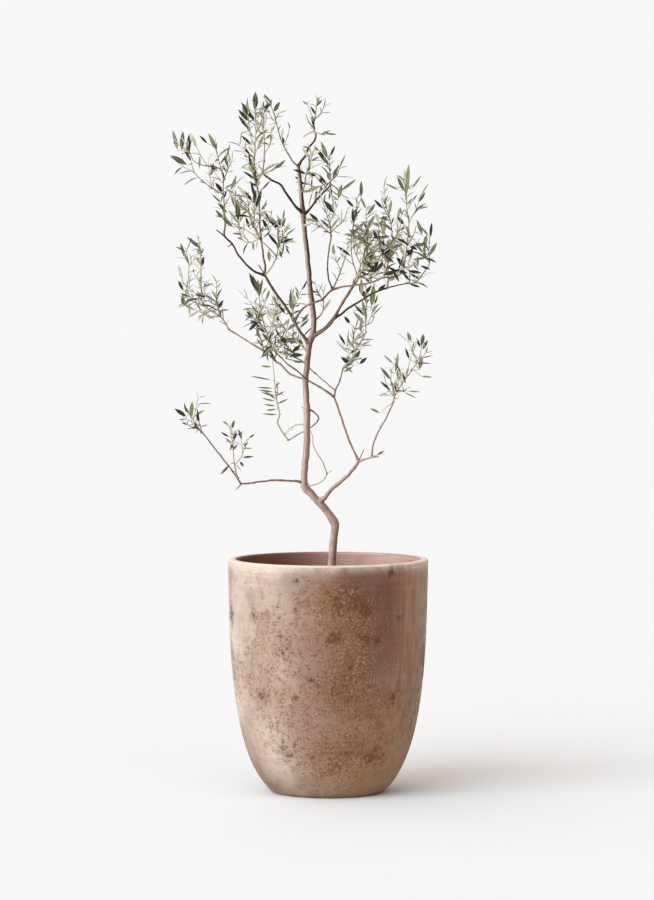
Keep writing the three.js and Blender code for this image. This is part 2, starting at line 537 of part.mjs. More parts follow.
function leafPoints(leaf) {
  const across = new THREE.Vector3().crossVectors(leaf.face, leaf.direction);
  return LEAF_TEST_PLACES.map(([along, aside]) => leaf.root.clone()
    .addScaledVector(leaf.direction, leaf.length * along)
    .addScaledVector(across, leaf.width * aside));
}

// A blade with a flat underside and a ridge along its upper side: root, tip, two edges, ridge.
const BLADE_CORNERS = [-1, 0, 0, 1, 0, 0, 0, 1, 0, 0, -1, 0, 0, 0, 1];
const BLADE_FACES = [1, 2, 4, 1, 4, 3, 0, 4, 2, 0, 3, 4, 0, 2, 3, 1, 3, 2];

function leafSolid(leaf) {
  const across = new THREE.Vector3().crossVectors(leaf.face, leaf.direction);
  const geometry = new THREE.PolyhedronGeometry(BLADE_CORNERS, BLADE_FACES, 1, 0);
  geometry.scale((leaf.length + LEAF_SUNK) / 2, leaf.width / 2, LEAF_THICKNESS);
  const place = new THREE.Matrix4().makeBasis(leaf.direction, across, leaf.face);
  place.setPosition(leaf.root.clone().addScaledVector(leaf.direction, (leaf.length - LEAF_SUNK) / 2));
  return toSolid(geometry.applyMatrix4(place));
}

// Leaves in opposite pairs along a route, and three at its end.
function drawLeaves(random, route, mass, bare) {
  const length = route.getLength();
  const leaves = [];
  let turn = QUARTER_TURN * random();
  for (let at = bare; at < length - mass.pairEvery / 2; at += mass.pairEvery) {
    const share = at / length;
    const tangent = route.getTangentAt(share);
    turn += QUARTER_TURN + eitherWay(random, TURN_SPREAD);
    for (const half of [0, 180]) {
      const side = sideways(tangent, turn + half);
      leaves.push(drawLeaf(random, route.getPointAt(share), tangent, side, LEAF_ANGLE, mass.leaf));
    }
  }
  const tangent = route.getTangentAt(1);
  const root = route.getPointAt(1).addScaledVector(tangent, -TWIG_TIP);
  for (const [half, degrees] of TIP_LEAVES) {
    leaves.push(drawLeaf(random, root, tangent, sideways(tangent, turn + half), degrees, mass.leaf));
  }
  return leaves;
}

// Side twigs along a route, turned about it by the golden angle from one to the next.
function drawTwigs(random, route, mass, bare) {
  const length = route.getLength();
  const twigs = [];
  let turn = 360 * random();
  for (let at = bare + mass.twigEvery / 2; at < length - TWIG_FREE_END; at += mass.twigEvery) {
    const share = at / length;
    const tangent = route.getTangentAt(share);
    turn += TWIG_TURN;
    const direction = leaning(tangent, sideways(tangent, turn), TWIG_ANGLE);
    const reach = TWIG_LENGTH * (1 + eitherWay(random, TWIG_LENGTH_SPREAD));
    const foot = route.getPointAt(share);
    direction.addScaledVector(UP, TWIG_RISE).normalize();
    twigs.push(new THREE.LineCurve3(foot, foot.clone().addScaledVector(direction, reach)));
  }
  return twigs;
}

// The leaves, out of all that are drawn, that stay in their space and clear of each other.
function leavesWithRoom(drawn, inSpace) {
  const leaves = [];
  const taken = [];
  for (const leaf of drawn) {
    const points = leafPoints(leaf);
    const outer = points.slice(0, LEAF_OUTER_PLACES);
    const free = outer.every((point) => taken.every((other) => point.distanceTo(other) > LEAF_APART));
    if (free && points.every((point) => inSpace(point, 0))) {
      leaves.push(leaf);
      taken.push(...outer);
    }
  }
  return leaves;
}

// Grows one mass: the stem and shoots as given, then twigs and leaves that stay in its space.
// A mass whose leaf has no length is a bare twig.
function growMass(mass, seed, inSpace) {
  if (mass.leaf === 0) return { twigs: [], leaves: [] };
  const random = seededRandom(seed);
  const spines = [mass.stemRoute, ...mass.shootRoutes];
  const bareStart = (route) => (route === mass.stemRoute ? mass.bare : mass.pairEvery * SHOOT_BARE_SHARE);
  const stays = (twig) => TWIG_TEST_SHARES.every((share) => inSpace(twig.getPointAt(share), TWIG_FOOT));
  const twigs = spines.flatMap((route) => drawTwigs(random, route, mass, bareStart(route))).filter(stays);
  const twigStart = mass.pairEvery * TWIG_BARE_SHARE;
  const drawn = [
    ...spines.flatMap((route) => drawLeaves(random, route, mass, bareStart(route))),
    ...twigs.flatMap((route) => drawLeaves(random, route, mass, twigStart)),
  ];
  return { twigs, leaves: leavesWithRoom(drawn, inSpace) };
}

function massSolid(mass, grown) {
  const tube = (route, foot, tip) => (
    bentCylinder(route, straightTaper(foot, tip), stretches(route), STEM_SIDES));
  const pieces = [
    ...[...mass.shootRoutes, ...mass.bareRoutes].map((route) => tube(route, SHOOT_FOOT, STEM_TIP)),
    ...grown.twigs.map((route) => tube(route, TWIG_FOOT, TWIG_TIP)),
    ...grown.leaves.map(leafSolid),
  ];
  return pieces.reduce((whole, piece) => whole.add(piece), limbSolid(mass.limb));
}

// The pot's outer wall: height and radius go round a superellipse from the foot to the rim.
function potRadius(height) {
  const below = Math.max(0, 1 - height / POT_SWELL_HEIGHT) ** POT_SWELL_POWER;
  const share = (POT_FOOT_RADIUS / POT_RADIUS) ** POT_ROUNDNESS;
  return POT_RADIUS * (1 - (1 - share) * below) ** (1 / POT_ROUNDNESS);
}

// Points up the wall, closer together near the foot, where it curves most.
function wallPoints(from, to, rings, inset) {
  return Array.from({ length: rings + 1 }, (_, i) => {
    const height = from + (to - from) * (i / rings) ** POT_RING_POWER;
    return new THREE.Vector2(potRadius(height) - inset, height);
  });
}

function innerWall() {
  return wallPoints(POT_FLOOR, POT_HEIGHT - POT_RIM_ROUND, POT_INNER_RINGS, POT_WALL);
}

// The rim is rounded over from the outer wall to the inner one.
function rimPoints() {
  const middle = POT_RADIUS - POT_WALL / 2;
  const shoulder = POT_WALL / 2 - POT_RIM_ROUND * POT_RIM_SHOULDER;
  const low = POT_HEIGHT - POT_RIM_ROUND * (1 - POT_RIM_SHOULDER) ** 2;
  return [
    new THREE.Vector2(middle + shoulder, low),
    new THREE.Vector2(middle, POT_HEIGHT),
    new THREE.Vector2(middle - shoulder, low),
  ];
}

function makePot() {
  const profile = [
    new THREE.Vector2(0, 0),
    new THREE.Vector2(POT_FOOT_RADIUS - POT_FOOT_EDGE, 0),
    ...wallPoints(POT_FOOT_EDGE, POT_HEIGHT - POT_RIM_ROUND, POT_RINGS, 0),
    ...rimPoints(),
    ...innerWall().reverse(),
    new THREE.Vector2(0, POT_FLOOR),
  ];
  return toSolid(standing(new THREE.LatheGeometry(profile, POT_SIDES)));
}

// The soil fills the pot: it keeps the gap from the floor and the wall, and is cut off level.
function makeSoil() {
  const wall = innerWall().map((point) => new THREE.Vector2(point.x - GAP, point.y + GAP));
  const top = new THREE.Vector2(0, wall.at(-1).y);
  const profile = [new THREE.Vector2(0, wall[0].y), ...wall, top];
  const whole = toSolid(standing(new THREE.LatheGeometry(profile, SOIL_SIDES)));
  return whole.trimByPlane([0, 0, -1], -SOIL_LEVEL);
}

// A lathe's axis turned from +Y to +Z.
function standing(geometry) {
  return geometry.rotateX(Math.PI / 2);
}

const olive = new THREE.Group();
const limbs = new Map();

function addMesh(name, solid, material) {
  const mesh = new THREE.Mesh(toGeometry(solid), material);
  mesh.name = name;
  olive.add(mesh);
}

function addTrunk() {
  const route = smoothRoute(TRUNK_ROUTE);
  const trunk = makeLimb('trunk', route, trunkRadius(route), TRUNK_SIDES, TRUNK_STEP);
  limbs.set('trunk', trunk);
  addMesh('trunk', trunkOnSoil(trunk), barkMaterial());
}

// The trunk's foot is cut flat and level just above the soil.
function trunkOnSoil(trunk) {
  return mainBody(limbSolid(trunk).trimByPlane([0, 0, 1], SOIL_LEVEL + GAP));
}

function addBoughs() {
  for (const bough of BOUGHS) {
    const parent = limbs.get(bough.from);
    const route = routeFrom(parent, bough.route);
    const limb = makeLimb(bough.name, route, straightTaper(bough.foot, bough.tip), BOUGH_SIDES, BOUGH_STEP);
    addMesh(bough.name, cutClear(limbSolid(limb), limb, parent, [...limbs.values()]), barkMaterial());
    limbs.set(bough.name, limb);
  }
}

// Works out the routes and the space samples of every mass before any of them is grown.
function layOutMasses() {
  return MASSES.map((spec) => {
    const usual = { leaf: LEAF_LENGTH, pairEvery: PAIR_EVERY, twigEvery: TWIG_EVERY, bareShoots: [] };
    const mass = { ...usual, ...spec };
    const stemRoute = kinked(routeFrom(limbs.get(mass.from), mass.stem));
    const onStem = (points) => kinked(routeFrom({ route: stemRoute }, points));
    const shootRoutes = mass.shoots.map(onStem);
    const bareRoutes = mass.bareShoots.map(onStem);
    const limb = makeLimb(mass.name, stemRoute, straightTaper(STEM_FOOT, STEM_TIP), STEM_SIDES, STEM_STEP);
    const samples = sampled([stemRoute, ...shootRoutes, ...bareRoutes]);
    return { ...mass, stemRoute, shootRoutes, bareRoutes, limb, samples };
  });
}

function limbSamples(limb) {
  const count = Math.ceil(limb.route.getLength() / SAMPLE_STEP);
  return limb.route.getSpacedPoints(count).map((point, i) => [point, limb.radiusAt(i / count)]);
}

function addMasses() {
  const masses = layOutMasses();
  const obstacles = [...limbs.values()].map((limb) => ({ samples: limbSamples(limb) }));
  const rooted = [...limbs.values()];
  masses.forEach((mass, i) => {
    const grown = growMass(mass, i + 1, spaceTest(mass, masses, obstacles));
    const solid = cutClear(massSolid(mass, grown), mass.limb, limbs.get(mass.from), rooted);
    rooted.push(mass.limb);
    addMesh(mass.name, solid, mass.leaf === 0 ? barkMaterial() : leafMaterial());
  });
}

addMesh('pot', makePot(), stonewareMaterial());
addMesh('soil', makeSoil(), soilMaterial());
addTrunk();
addBoughs();
addMasses();

export default olive;
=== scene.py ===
# %% [markdown]
# # A young olive tree in a round ceramic pot
#
# A plain model of the tree is already there: a pot, soil, a trunk with its boughs, 30 masses
# of foliage with coarse leaves, and one bare twig. This lesson dresses it. The pot gets a
# weathered finish, the limbs get bark, and each mass of foliage grows again with finer twigs
# and small leaves, in the same place. All lengths in the tables are millimetres, as a maker
# would measure them, and MM turns them into Blender's metres.

# %% Load the plain model
import math

import bmesh
import bpy
import numpy as np
from mathutils import Matrix, Vector, noise


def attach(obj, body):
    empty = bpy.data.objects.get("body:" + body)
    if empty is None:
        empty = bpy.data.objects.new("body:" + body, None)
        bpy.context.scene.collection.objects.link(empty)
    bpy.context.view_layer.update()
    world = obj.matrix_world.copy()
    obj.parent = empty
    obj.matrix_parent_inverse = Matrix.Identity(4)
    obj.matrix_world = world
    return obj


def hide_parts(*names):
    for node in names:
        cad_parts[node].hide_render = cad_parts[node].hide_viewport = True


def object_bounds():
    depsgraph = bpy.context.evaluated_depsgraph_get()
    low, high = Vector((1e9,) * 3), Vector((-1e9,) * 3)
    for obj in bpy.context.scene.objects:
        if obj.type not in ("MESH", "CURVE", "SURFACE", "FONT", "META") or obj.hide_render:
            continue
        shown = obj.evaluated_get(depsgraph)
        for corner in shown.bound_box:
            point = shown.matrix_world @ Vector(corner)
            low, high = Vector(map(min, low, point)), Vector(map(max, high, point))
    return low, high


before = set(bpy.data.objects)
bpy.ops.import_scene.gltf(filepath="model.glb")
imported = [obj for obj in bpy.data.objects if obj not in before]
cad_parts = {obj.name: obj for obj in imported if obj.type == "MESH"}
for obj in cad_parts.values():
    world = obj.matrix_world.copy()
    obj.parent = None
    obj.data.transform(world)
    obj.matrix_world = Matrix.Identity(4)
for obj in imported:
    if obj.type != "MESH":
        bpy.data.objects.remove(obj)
cad_low, cad_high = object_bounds()
MM = 0.001
scene = bpy.context.scene
print("plain model, size in mm:", [round(side / MM) for side in cad_high - cad_low])

# %% [markdown]
# ## The camera
#
# The photograph was taken from nearly eight metres away, at the height of the crown's lower
# half, with a long lens that looks slightly down. A long lens keeps the pot's rim nearly flat and
# the trunk straight. The numbers come from the pot's rim, its foot and the top of the tree,
# whose places in the picture are known.

# %% Set up the camera
LENS = 151.6
CAMERA_PLACE = (-0.002, -7.606, 1.040)
CAMERA_DOWN = 2.646
SENSOR_WIDTH = 36.0

camera_data = bpy.data.cameras.new("camera")
camera_data.lens = LENS
camera_data.sensor_width = SENSOR_WIDTH
camera = bpy.data.objects.new("camera", camera_data)
camera.location = CAMERA_PLACE
camera.rotation_euler = (math.radians(90 - CAMERA_DOWN), 0, 0)
scene.collection.objects.link(camera)
scene.camera = camera
print("camera at", CAMERA_PLACE, "with a lens of", LENS, "mm")

# %% [markdown]
# ## Small tools for every piece
#
# A finished piece is a mesh object that stands at the origin, rides on the tree's one body
# and takes the place of some nodes of the plain model. These lines are the same for each
# piece, so they become one function. The second closes a mesh and turns its faces outwards.
# The third gives soft noise in layers: relief that can be seen along an edge has to be in
# the mesh, so the wall and the bark are later pushed in and out by it.

# %% Tools that finish a piece
MERGE_WITHIN = 1e-6
# how fast the layers of noise fade, and how many times finer each is than the last
LAYER_FADE, LAYER_FINER = 1.0, 2.0


def add_piece(name, mesh, nodes):
    piece = bpy.data.objects.new(name, mesh)
    scene.collection.objects.link(piece)
    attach(piece, "root")
    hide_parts(*nodes)
    print(f"{name}: {len(mesh.polygons)} faces, stands for {len(nodes)} nodes")
    return piece


def closed_mesh(name, shape):
    """Ends a bmesh: merges doubles, turns all faces outwards and makes the mesh."""
    bmesh.ops.remove_doubles(shape, verts=shape.verts, dist=MERGE_WITHIN)
    bmesh.ops.recalc_face_normals(shape, faces=shape.faces)
    mesh = bpy.data.meshes.new(name)
    shape.to_mesh(mesh)
    shape.free()
    mesh.shade_smooth()
    return mesh


def layered_noise(point, size, stretch=1.0, layers=4):
    """Soft noise from about -1 to 1. Size is the width of its largest bumps in mm."""
    place = Vector((point.x, point.y, point.z / stretch)) / (size * MM)
    return noise.fractal(place, LAYER_FADE, LAYER_FINER, layers)


# %% [markdown]
# ## Tools for materials
#
# A material in Blender is a small network of nodes, and so is the light of a sky. The first
# class below adds the kinds that both need: a soft step that turns a number into a mask, a
# blend of two colours or numbers, and a little arithmetic. The second keeps one material and
# adds noise for patches, grains and bumps. Every pattern reads Object coordinates, so it
# stays on the piece whatever the view.

# %% A small kit of nodes
# the sockets of a Mix node for each kind of value: first, second and result
MIX_SOCKETS = {"RGBA": (6, 7, 2), "FLOAT": (2, 3, 0)}


def paint(code):
    """A colour from its six-figure code, as the linear values that a shader needs."""
    shares = [int(code[i:i + 2], 16) / 255 for i in (0, 2, 4)]
    linear = [c / 12.92 if c <= 0.04045 else ((c + 0.055) / 1.055) ** 2.4 for c in shares]
    return (*linear, 1.0)


class Network:
    def __init__(self, tree):
        self.tree = tree

    def add(self, kind, **settings):
        node = self.tree.nodes.new(kind)
        for key, value in settings.items():
            setattr(node, key, value)
        return node

    def feed(self, socket, value):
        """Links an output to a socket, or sets the socket to a plain value."""
        if isinstance(value, bpy.types.NodeSocket):
            self.tree.links.new(value, socket)
        else:
            socket.default_value = value

    def split(self, vector):
        """The x, y and z of a place or direction."""
        node = self.add("ShaderNodeSeparateXYZ")
        self.feed(node.inputs[0], vector)
        return node.outputs

    def step(self, value, low, high, start=0.0, end=1.0):
        """A soft step: start below low, end above high."""
        ramp = self.add("ShaderNodeMapRange", interpolation_type="SMOOTHSTEP")
        self.feed(ramp.inputs["Value"], value)
        numbers = {"From Min": low, "From Max": high, "To Min": start, "To Max": end}
        for key, number in numbers.items():
            ramp.inputs[key].default_value = number
        return ramp.outputs["Result"]

    def math(self, operation, first, second):
        node = self.add("ShaderNodeMath", operation=operation)
        self.feed(node.inputs[0], first)
        self.feed(node.inputs[1], second)
        return node.outputs["Value"]

    def blend(self, share, first, second, kind="RGBA"):
        node = self.add("ShaderNodeMix", data_type=kind)
        first_socket, second_socket, result = MIX_SOCKETS[kind]
        self.feed(node.inputs["Factor"], share)
        self.feed(node.inputs[first_socket], first)
        self.feed(node.inputs[second_socket], second)
        return node.outputs[result]


class Finish(Network):
    def __init__(self, name, roughness, specular=0.4):
        self.material = bpy.data.materials.new(name)
        self.material.use_nodes = True
        super().__init__(self.material.node_tree)
        self.shader = self.tree.nodes["Principled BSDF"]
        self.shader.inputs["Roughness"].default_value = roughness
        self.shader.inputs["Specular IOR Level"].default_value = specular
        self.place = self.add("ShaderNodeTexCoord").outputs["Object"]

    def attribute(self, name):
        return self.add("ShaderNodeAttribute", attribute_name=name).outputs["Fac"]

    def pattern(self, kind, size, stretch, **numbers):
        """A pattern node whose features are about size mm wide, times the stretch."""
        mapping = self.add("ShaderNodeMapping")
        self.feed(mapping.inputs["Vector"], self.place)
        mapping.inputs["Scale"].default_value = [1 / (s * size * MM) for s in stretch]
        node = self.add(kind)
        self.feed(node.inputs["Vector"], mapping.outputs["Vector"])
        node.inputs["Scale"].default_value = 1.0
        for key, number in numbers.items():
            node.inputs[key].default_value = number
        return node.outputs

    def noise(self, size, stretch=(1, 1, 1), detail=4.0, rough=0.55):
        """Cloudy noise from 0 to 1."""
        cloud = self.pattern("ShaderNodeTexNoise", size, stretch, Detail=detail, Roughness=rough)
        return cloud["Fac"]

    def cells(self, size):
        """Grains: 0 in the middle of each, rising to about 0.8."""
        return self.pattern("ShaderNodeTexVoronoi", size, (1, 1, 1))["Distance"]

    def bump(self, height, depth, below=None):
        """A bump of depth mm, on top of another bump if there is one."""
        node = self.add("ShaderNodeBump")
        node.inputs["Strength"].default_value = 1.0
        node.inputs["Distance"].default_value = depth * MM
        self.feed(node.inputs["Height"], height)
        if below is not None:
            self.feed(node.inputs["Normal"], below)
        return node.outputs["Normal"]

    def done(self, colour, roughness=None, normal=None):
        ends = {"Base Color": colour, "Roughness": roughness, "Normal": normal}
        for key, value in ends.items():
            if value is not None:
                self.feed(self.shader.inputs[key], value)
        return self.material


# %% [markdown]
# ## The pot
#
# The pot is thrown on a wheel, so it is one profile turned round an axis. A maker in Blender
# has three ways: the Screw modifier, a curve used as a lathe, or bmesh's spin. Spin is used
# here, as it gives vertices that can be moved afterwards. The outer wall follows a
# superellipse, a curve between an ellipse and a box: it swells quickly out of a narrow foot
# and then goes straight up. The wall is 20 mm thick and the rim is rounded over.

# %% Draw and spin the pot's profile
POT_HEIGHT = 470
POT_RADIUS = 202
POT_FOOT_RADIUS = 112
POT_SWELL_HEIGHT = 776
POT_SWELL_POWER = 4.94
POT_ROUNDNESS = 3.05
POT_FOOT_EDGE = 5
POT_WALL = 20
POT_FLOOR = 25
POT_RIM_ROUND = 7
POT_SPIN_STEPS = 288
POT_OUTER_RINGS = 118
POT_INNER_RINGS = 34
RIM_RINGS = 14
RIM_SQUARENESS = 0.55


def pot_radius(height):
    below = max(0.0, 1 - height / POT_SWELL_HEIGHT) ** POT_SWELL_POWER
    share = (POT_FOOT_RADIUS / POT_RADIUS) ** POT_ROUNDNESS
    return POT_RADIUS * (1 - (1 - share) * below) ** (1 / POT_ROUNDNESS)


def pot_profile():
    rim_start = POT_HEIGHT - POT_RIM_ROUND
    middle = POT_RADIUS - POT_WALL / 2
    points = [(0, 0)]
    points += [(share * (POT_FOOT_RADIUS - POT_FOOT_EDGE), 0) for share in (0.5, 0.9, 1)]
    points += [(POT_FOOT_RADIUS - 0.3 * POT_FOOT_EDGE, 0.3 * POT_FOOT_EDGE)]
    for height in np.linspace(POT_FOOT_EDGE, rim_start, POT_OUTER_RINGS):
        points.append((pot_radius(height), height))
    for turn in np.linspace(0, math.pi, RIM_RINGS)[1:-1]:
        side = math.copysign(abs(math.cos(turn)) ** RIM_SQUARENESS, math.cos(turn))
        rise = math.sin(turn) ** RIM_SQUARENESS
        points.append((middle + side * POT_WALL / 2, rim_start + rise * POT_RIM_ROUND))
    for height in np.linspace(rim_start, POT_FLOOR, POT_INNER_RINGS):
        points.append((pot_radius(height) - POT_WALL, height))
    return points + [(0, POT_FLOOR)]


def spin_profile(points, steps):
    shape = bmesh.new()
    line = [shape.verts.new((radius * MM, 0, height * MM)) for radius, height in points]
    edges = [shape.edges.new(pair) for pair in zip(line, line[1:])]
    bmesh.ops.spin(shape, geom=line + edges, cent=(0, 0, 0), axis=(0, 0, 1),
                   angle=2 * math.pi, steps=steps, use_merge=True)
    return shape


pot_mesh = closed_mesh("pot_stoneware", spin_profile(pot_profile(), POT_SPIN_STEPS))
print("pot spun:", len(pot_mesh.vertices), "vertices")

# %% [markdown]
# ## Weathering and painted light on the pot
#
# The clay is smooth and violet-grey in some places, and in others tan, stained, sandy or
# crusted. A chalky haze lies on the left and under the rim, and on the left it is also painted
# light. Some more of the pot's light and shade is painted in the same way: a tan column on the
# right is painted light, and dark stains on the right edge are painted shade. These have their
# place on the pot, so each is a mark: an angle round the pot from the front, a height, a size
# and a strength. The marks are written to the mesh as attributes, one number for each vertex,
# which the material then breaks up with noise. The sides and the back, which the photograph
# doesn't show, get seeded marks of the same kinds.

# %% Write the marks to the mesh
CRUST_MARKS = [
    (-18, 440, 6, 0.9), (5, 390, 18, 0.8), (17, 394, 22, 0.9), (12, 424, 18, 0.5),
    (3, 412, 16, 0.5), (22, 380, 18, 0.7), (-12, 395, 16, 0.35), (-38, 366, 14, 0.4),
    (4, 327, 13, 1.0), (22, 328, 12, 1.1), (30, 322, 10, 1.0), (-27, 299, 16, 0.6),
    (12, 272, 18, 0.6), (-43, 208, 14, 0.8), (-20, 209, 10, 0.8), (10, 226, 24, 0.5),
    (43, 205, 12, 0.9), (-16, 92, 34, 0.35), (-31, 106, 22, 0.4), (34, 88, 26, 0.7),
    (38, 455, 10, 0.9), (45, 362, 10, 0.7), (6, 78, 34, 0.3), (20, 100, 26, 0.35),
    (-48, 366, 14, 0.5), (-27, 333, 8, 0.6), (-16, 253, 5, 0.8), (-13, 249, 5, 0.8),
    (-10, 244, 5, 0.7), (-8, 239, 5, 0.6), (-5.5, 235, 6, 0.6),
]
SAND_MARKS = [
    (8, 395, 56, 0.8), (-10, 405, 44, 0.6), (20, 350, 60, 0.7), (-36, 360, 50, 0.7),
    (-20, 320, 60, 0.5), (-42, 290, 50, 0.7), (10, 275, 70, 0.8), (-38, 215, 56, 0.8),
    (-16, 200, 50, 0.5), (16, 205, 64, 0.8), (42, 205, 40, 0.5), (-30, 130, 60, 0.6),
    (-6, 95, 64, 0.8), (26, 92, 60, 0.8), (2, 40, 60, 0.4), (-58, 250, 50, 0.4),
]
STREAK_MARKS = [
    (46, 410, 60, 0.9), (56, 330, 60, 0.9), (40, 455, 26, 0.7), (40, 320, 40, 0.5),
    (58, 230, 80, 0.7), (50, 130, 60, 0.6), (30, 150, 60, 0.4), (-66, 250, 60, 0.4),
]
# haze and painted light: two columns of marks on the left, partly haze and partly painted light on
# the lit side, which change in strength as they rise
HAZE_AND_LIGHT_MARKS = [(-64, height, 140, 0.06 + height / 1900) for height in range(60, 460, 90)]
HAZE_AND_LIGHT_MARKS += [(-28, height, 62, 0.25 - height / 4500) for height in range(40, 460, 70)]
HAZE_AND_LIGHT_MARKS += [
    (-30, 458, 50, 0.4), (-55, 448, 60, 0.4), (0, 462, 24, 0.2), (30, 462, 24, 0.3),
    (-44, 105, 60, 0.3),
]
HAZE_AND_LIGHT_MARKS += [(angle, POT_HEIGHT, 15, 0.5) for angle in range(0, 360, 5)]
# tan and painted light: a column on the right, tan in colour and painted light along that side, and
# a few tan marks low down
TAN_AND_LIGHT_MARKS = [(76, height, 100, 0.85) for height in range(40, 460, 90)]
TAN_AND_LIGHT_MARKS += [(20, 30, 60, 0.8), (-20, 25, 50, 0.5), (45, 110, 60, 0.5)]
VIOLET_MARKS = [
    (-10, 318, 44, 0.8), (28, 296, 40, 0.7), (-8, 178, 50, 0.6), (30, 440, 30, 0.6),
    (36, 240, 40, 0.5), (-22, 440, 44, 0.8), (0, 458, 40, 0.6), (-48, 410, 40, 0.5),
    (-8, 268, 40, 0.6), (-14, 150, 50, 0.5),
]
# stains and painted shade: the marks from 64 degrees on, along the right edge, are painted shade
STAIN_AND_SHADE_MARKS = [
    (16, 412, 40, 0.7), (28, 430, 44, 0.8), (26, 385, 50, 0.9), (30, 340, 44, 0.8),
    (24, 290, 40, 0.4), (36, 300, 40, 0.4), (40, 420, 40, 0.4), (4, 330, 12, 0.8),
    (10, 372, 40, 0.4), (-34, 215, 26, 0.3), (2, 320, 50, 0.3), (10, 255, 55, 0.4),
    (22, 225, 55, 0.4), (4, 210, 50, 0.3), (30, 330, 50, 0.2), (8, 452, 22, 0.5),
    (64, 410, 40, 0.3), (66, 320, 50, 0.2), (64, 230, 50, 0.35), (84, 400, 60, 0.5),
    (84, 310, 60, 0.5), (84, 200, 50, 0.3), (84, 110, 50, 0.4),
]
# name of the attribute, its marks, and the size and strength of those on the hidden sides
MARK_KINDS = [
    ("crust", CRUST_MARKS, 22, 0.8), ("sand", SAND_MARKS, 50, 1.1),
    ("streak", STREAK_MARKS, 60, 0.7), ("haze", HAZE_AND_LIGHT_MARKS, 70, 0.7),
    ("tan", TAN_AND_LIGHT_MARKS, 70, 0.9), ("violet", VIOLET_MARKS, 45, 0.8),
    ("stain", STAIN_AND_SHADE_MARKS, 45, 0.7),
]
HIDDEN_MARK_COUNT = 34
HIDDEN_FROM, HIDDEN_TO = 75, 285
HIDDEN_LOW, HIDDEN_HIGH = 30, 450
INNER_DEPTH = 0.7
LIP_DEPTH, LIP_FADE = 4, 3
CRUSTED = 0.4


def on_pot(angle, height):
    radius = pot_radius(height)
    turn = math.radians(angle)
    return [radius * math.sin(turn), -radius * math.cos(turn), height]


def hidden_marks(draw, size, strength):
    """Marks for the part of the pot that the photograph doesn't show."""
    marks = []
    for _ in range(HIDDEN_MARK_COUNT):
        angle = HIDDEN_FROM + (HIDDEN_TO - HIDDEN_FROM) * draw.random()
        height = HIDDEN_LOW + (HIDDEN_HIGH - HIDDEN_LOW) * draw.random()
        marks.append((angle, height, size * (0.5 + draw.random()), strength * draw.random()))
    return marks


def write_numbers(mesh, name, numbers):
    values = mesh.attributes.new(name, "FLOAT", "POINT")
    values.data.foreach_set("value", numbers.astype(np.float32))


pot_places = np.array([vertex.co for vertex in pot_mesh.vertices]) / MM
outer_radius = np.array([pot_radius(height) for height in pot_places[:, 2]])
depth_in_wall = outer_radius - np.hypot(pot_places[:, 0], pot_places[:, 1])
inner_wall = (depth_in_wall > INNER_DEPTH * POT_WALL) & (pot_places[:, 2] > POT_FLOOR - 1)
write_numbers(pot_mesh, "inner_wall", inner_wall)
lip = np.clip((pot_places[:, 2] - POT_HEIGHT + LIP_DEPTH) / LIP_FADE, 0, 1)
write_numbers(pot_mesh, "lip", lip * ~inner_wall)


def marks_in_all(marks):
    """How much of a kind of mark there is at each vertex of the pot."""
    total = np.zeros(len(pot_places))
    for angle, height, size, strength in marks:
        distance = np.linalg.norm(pot_places - on_pot(angle, height), axis=1)
        total += strength * np.exp(-(distance / size) ** 2)
    total[inner_wall] = 0
    return total


mark_draw = np.random.default_rng(7)
marked = {name: marks_in_all(marks + hidden_marks(mark_draw, size, strength))
          for name, marks, size, strength in MARK_KINDS}
for name, numbers in marked.items():
    write_numbers(pot_mesh, name, numbers)
print("vertices with crust:", int((marked["crust"] > CRUSTED).sum()))

# %% [markdown]
# ## Relief on the pot
#
# The wall isn't perfectly round: it has broad, shallow waves from the making, and the crust
# is eaten in by about a millimetre. Both are real shape, so they move the vertices. The
# underside stays flat, because the pot stands on it, and the inner wall gets the waves only.

# %% Push the wall in and out
WAVE_HEIGHT = 0.5
WAVE_SIZE = 110
PIT_DEPTH = 1.3
PIT_SIZE = 9
PIT_SHARE = 0.25


def roughen_pot(mesh, crust):
    for vertex, amount in zip(mesh.vertices, crust):
        place = vertex.co
        radius = math.hypot(place.x, place.y)
        if place.z < POT_FOOT_EDGE * MM or radius < MERGE_WITHIN:
            continue
        outward = Vector((place.x, place.y, 0)) / radius
        push = WAVE_HEIGHT * (layered_noise(place, WAVE_SIZE) - 0.5)
        outside = radius > (pot_radius(place.z / MM) - POT_WALL / 2) * MM
        if outside:
            pit = max(0.0, layered_noise(place, PIT_SIZE, layers=3) + PIT_SHARE)
            push -= PIT_DEPTH * min(1.0, amount) * pit
        vertex.co = place + outward * push * MM


roughen_pot(pot_mesh, marked["crust"])
pot = add_piece("pot_stoneware", pot_mesh, ["pot"])

# %% [markdown]
# ## The pot's finish
# From far away the pot is a warm pinkish brown. Closer, it has smooth violet-grey patches,
# tan and stained ones, sandy ones with pale crumbs and dark hollows and pits, a dark crust,
# and a chalky haze on one side. Part of this is painted light and shade: the haze on the left
# and the tan on the right are also painted light, and the stains on the right edge are painted
# shade. Each is a colour laid over the last through a mask: the mark's attribute, with its
# edge made ragged by noise. The same masks make the rough places duller and bumpy. Fine level
# lines are left from the turning, and brown streaks run down where water has run. The inner
# wall is plainer, with painted shade that makes it dark on the left and painted light that
# makes it pale on the right, and the lip is pale.

# %% Stoneware
# across the inside of the pot, in metres: where its painted shade is darkest and its painted light
# palest
INSIDE_PAINTED_SHADE, INSIDE_PAINTED_LIGHT = -0.12, 0.12


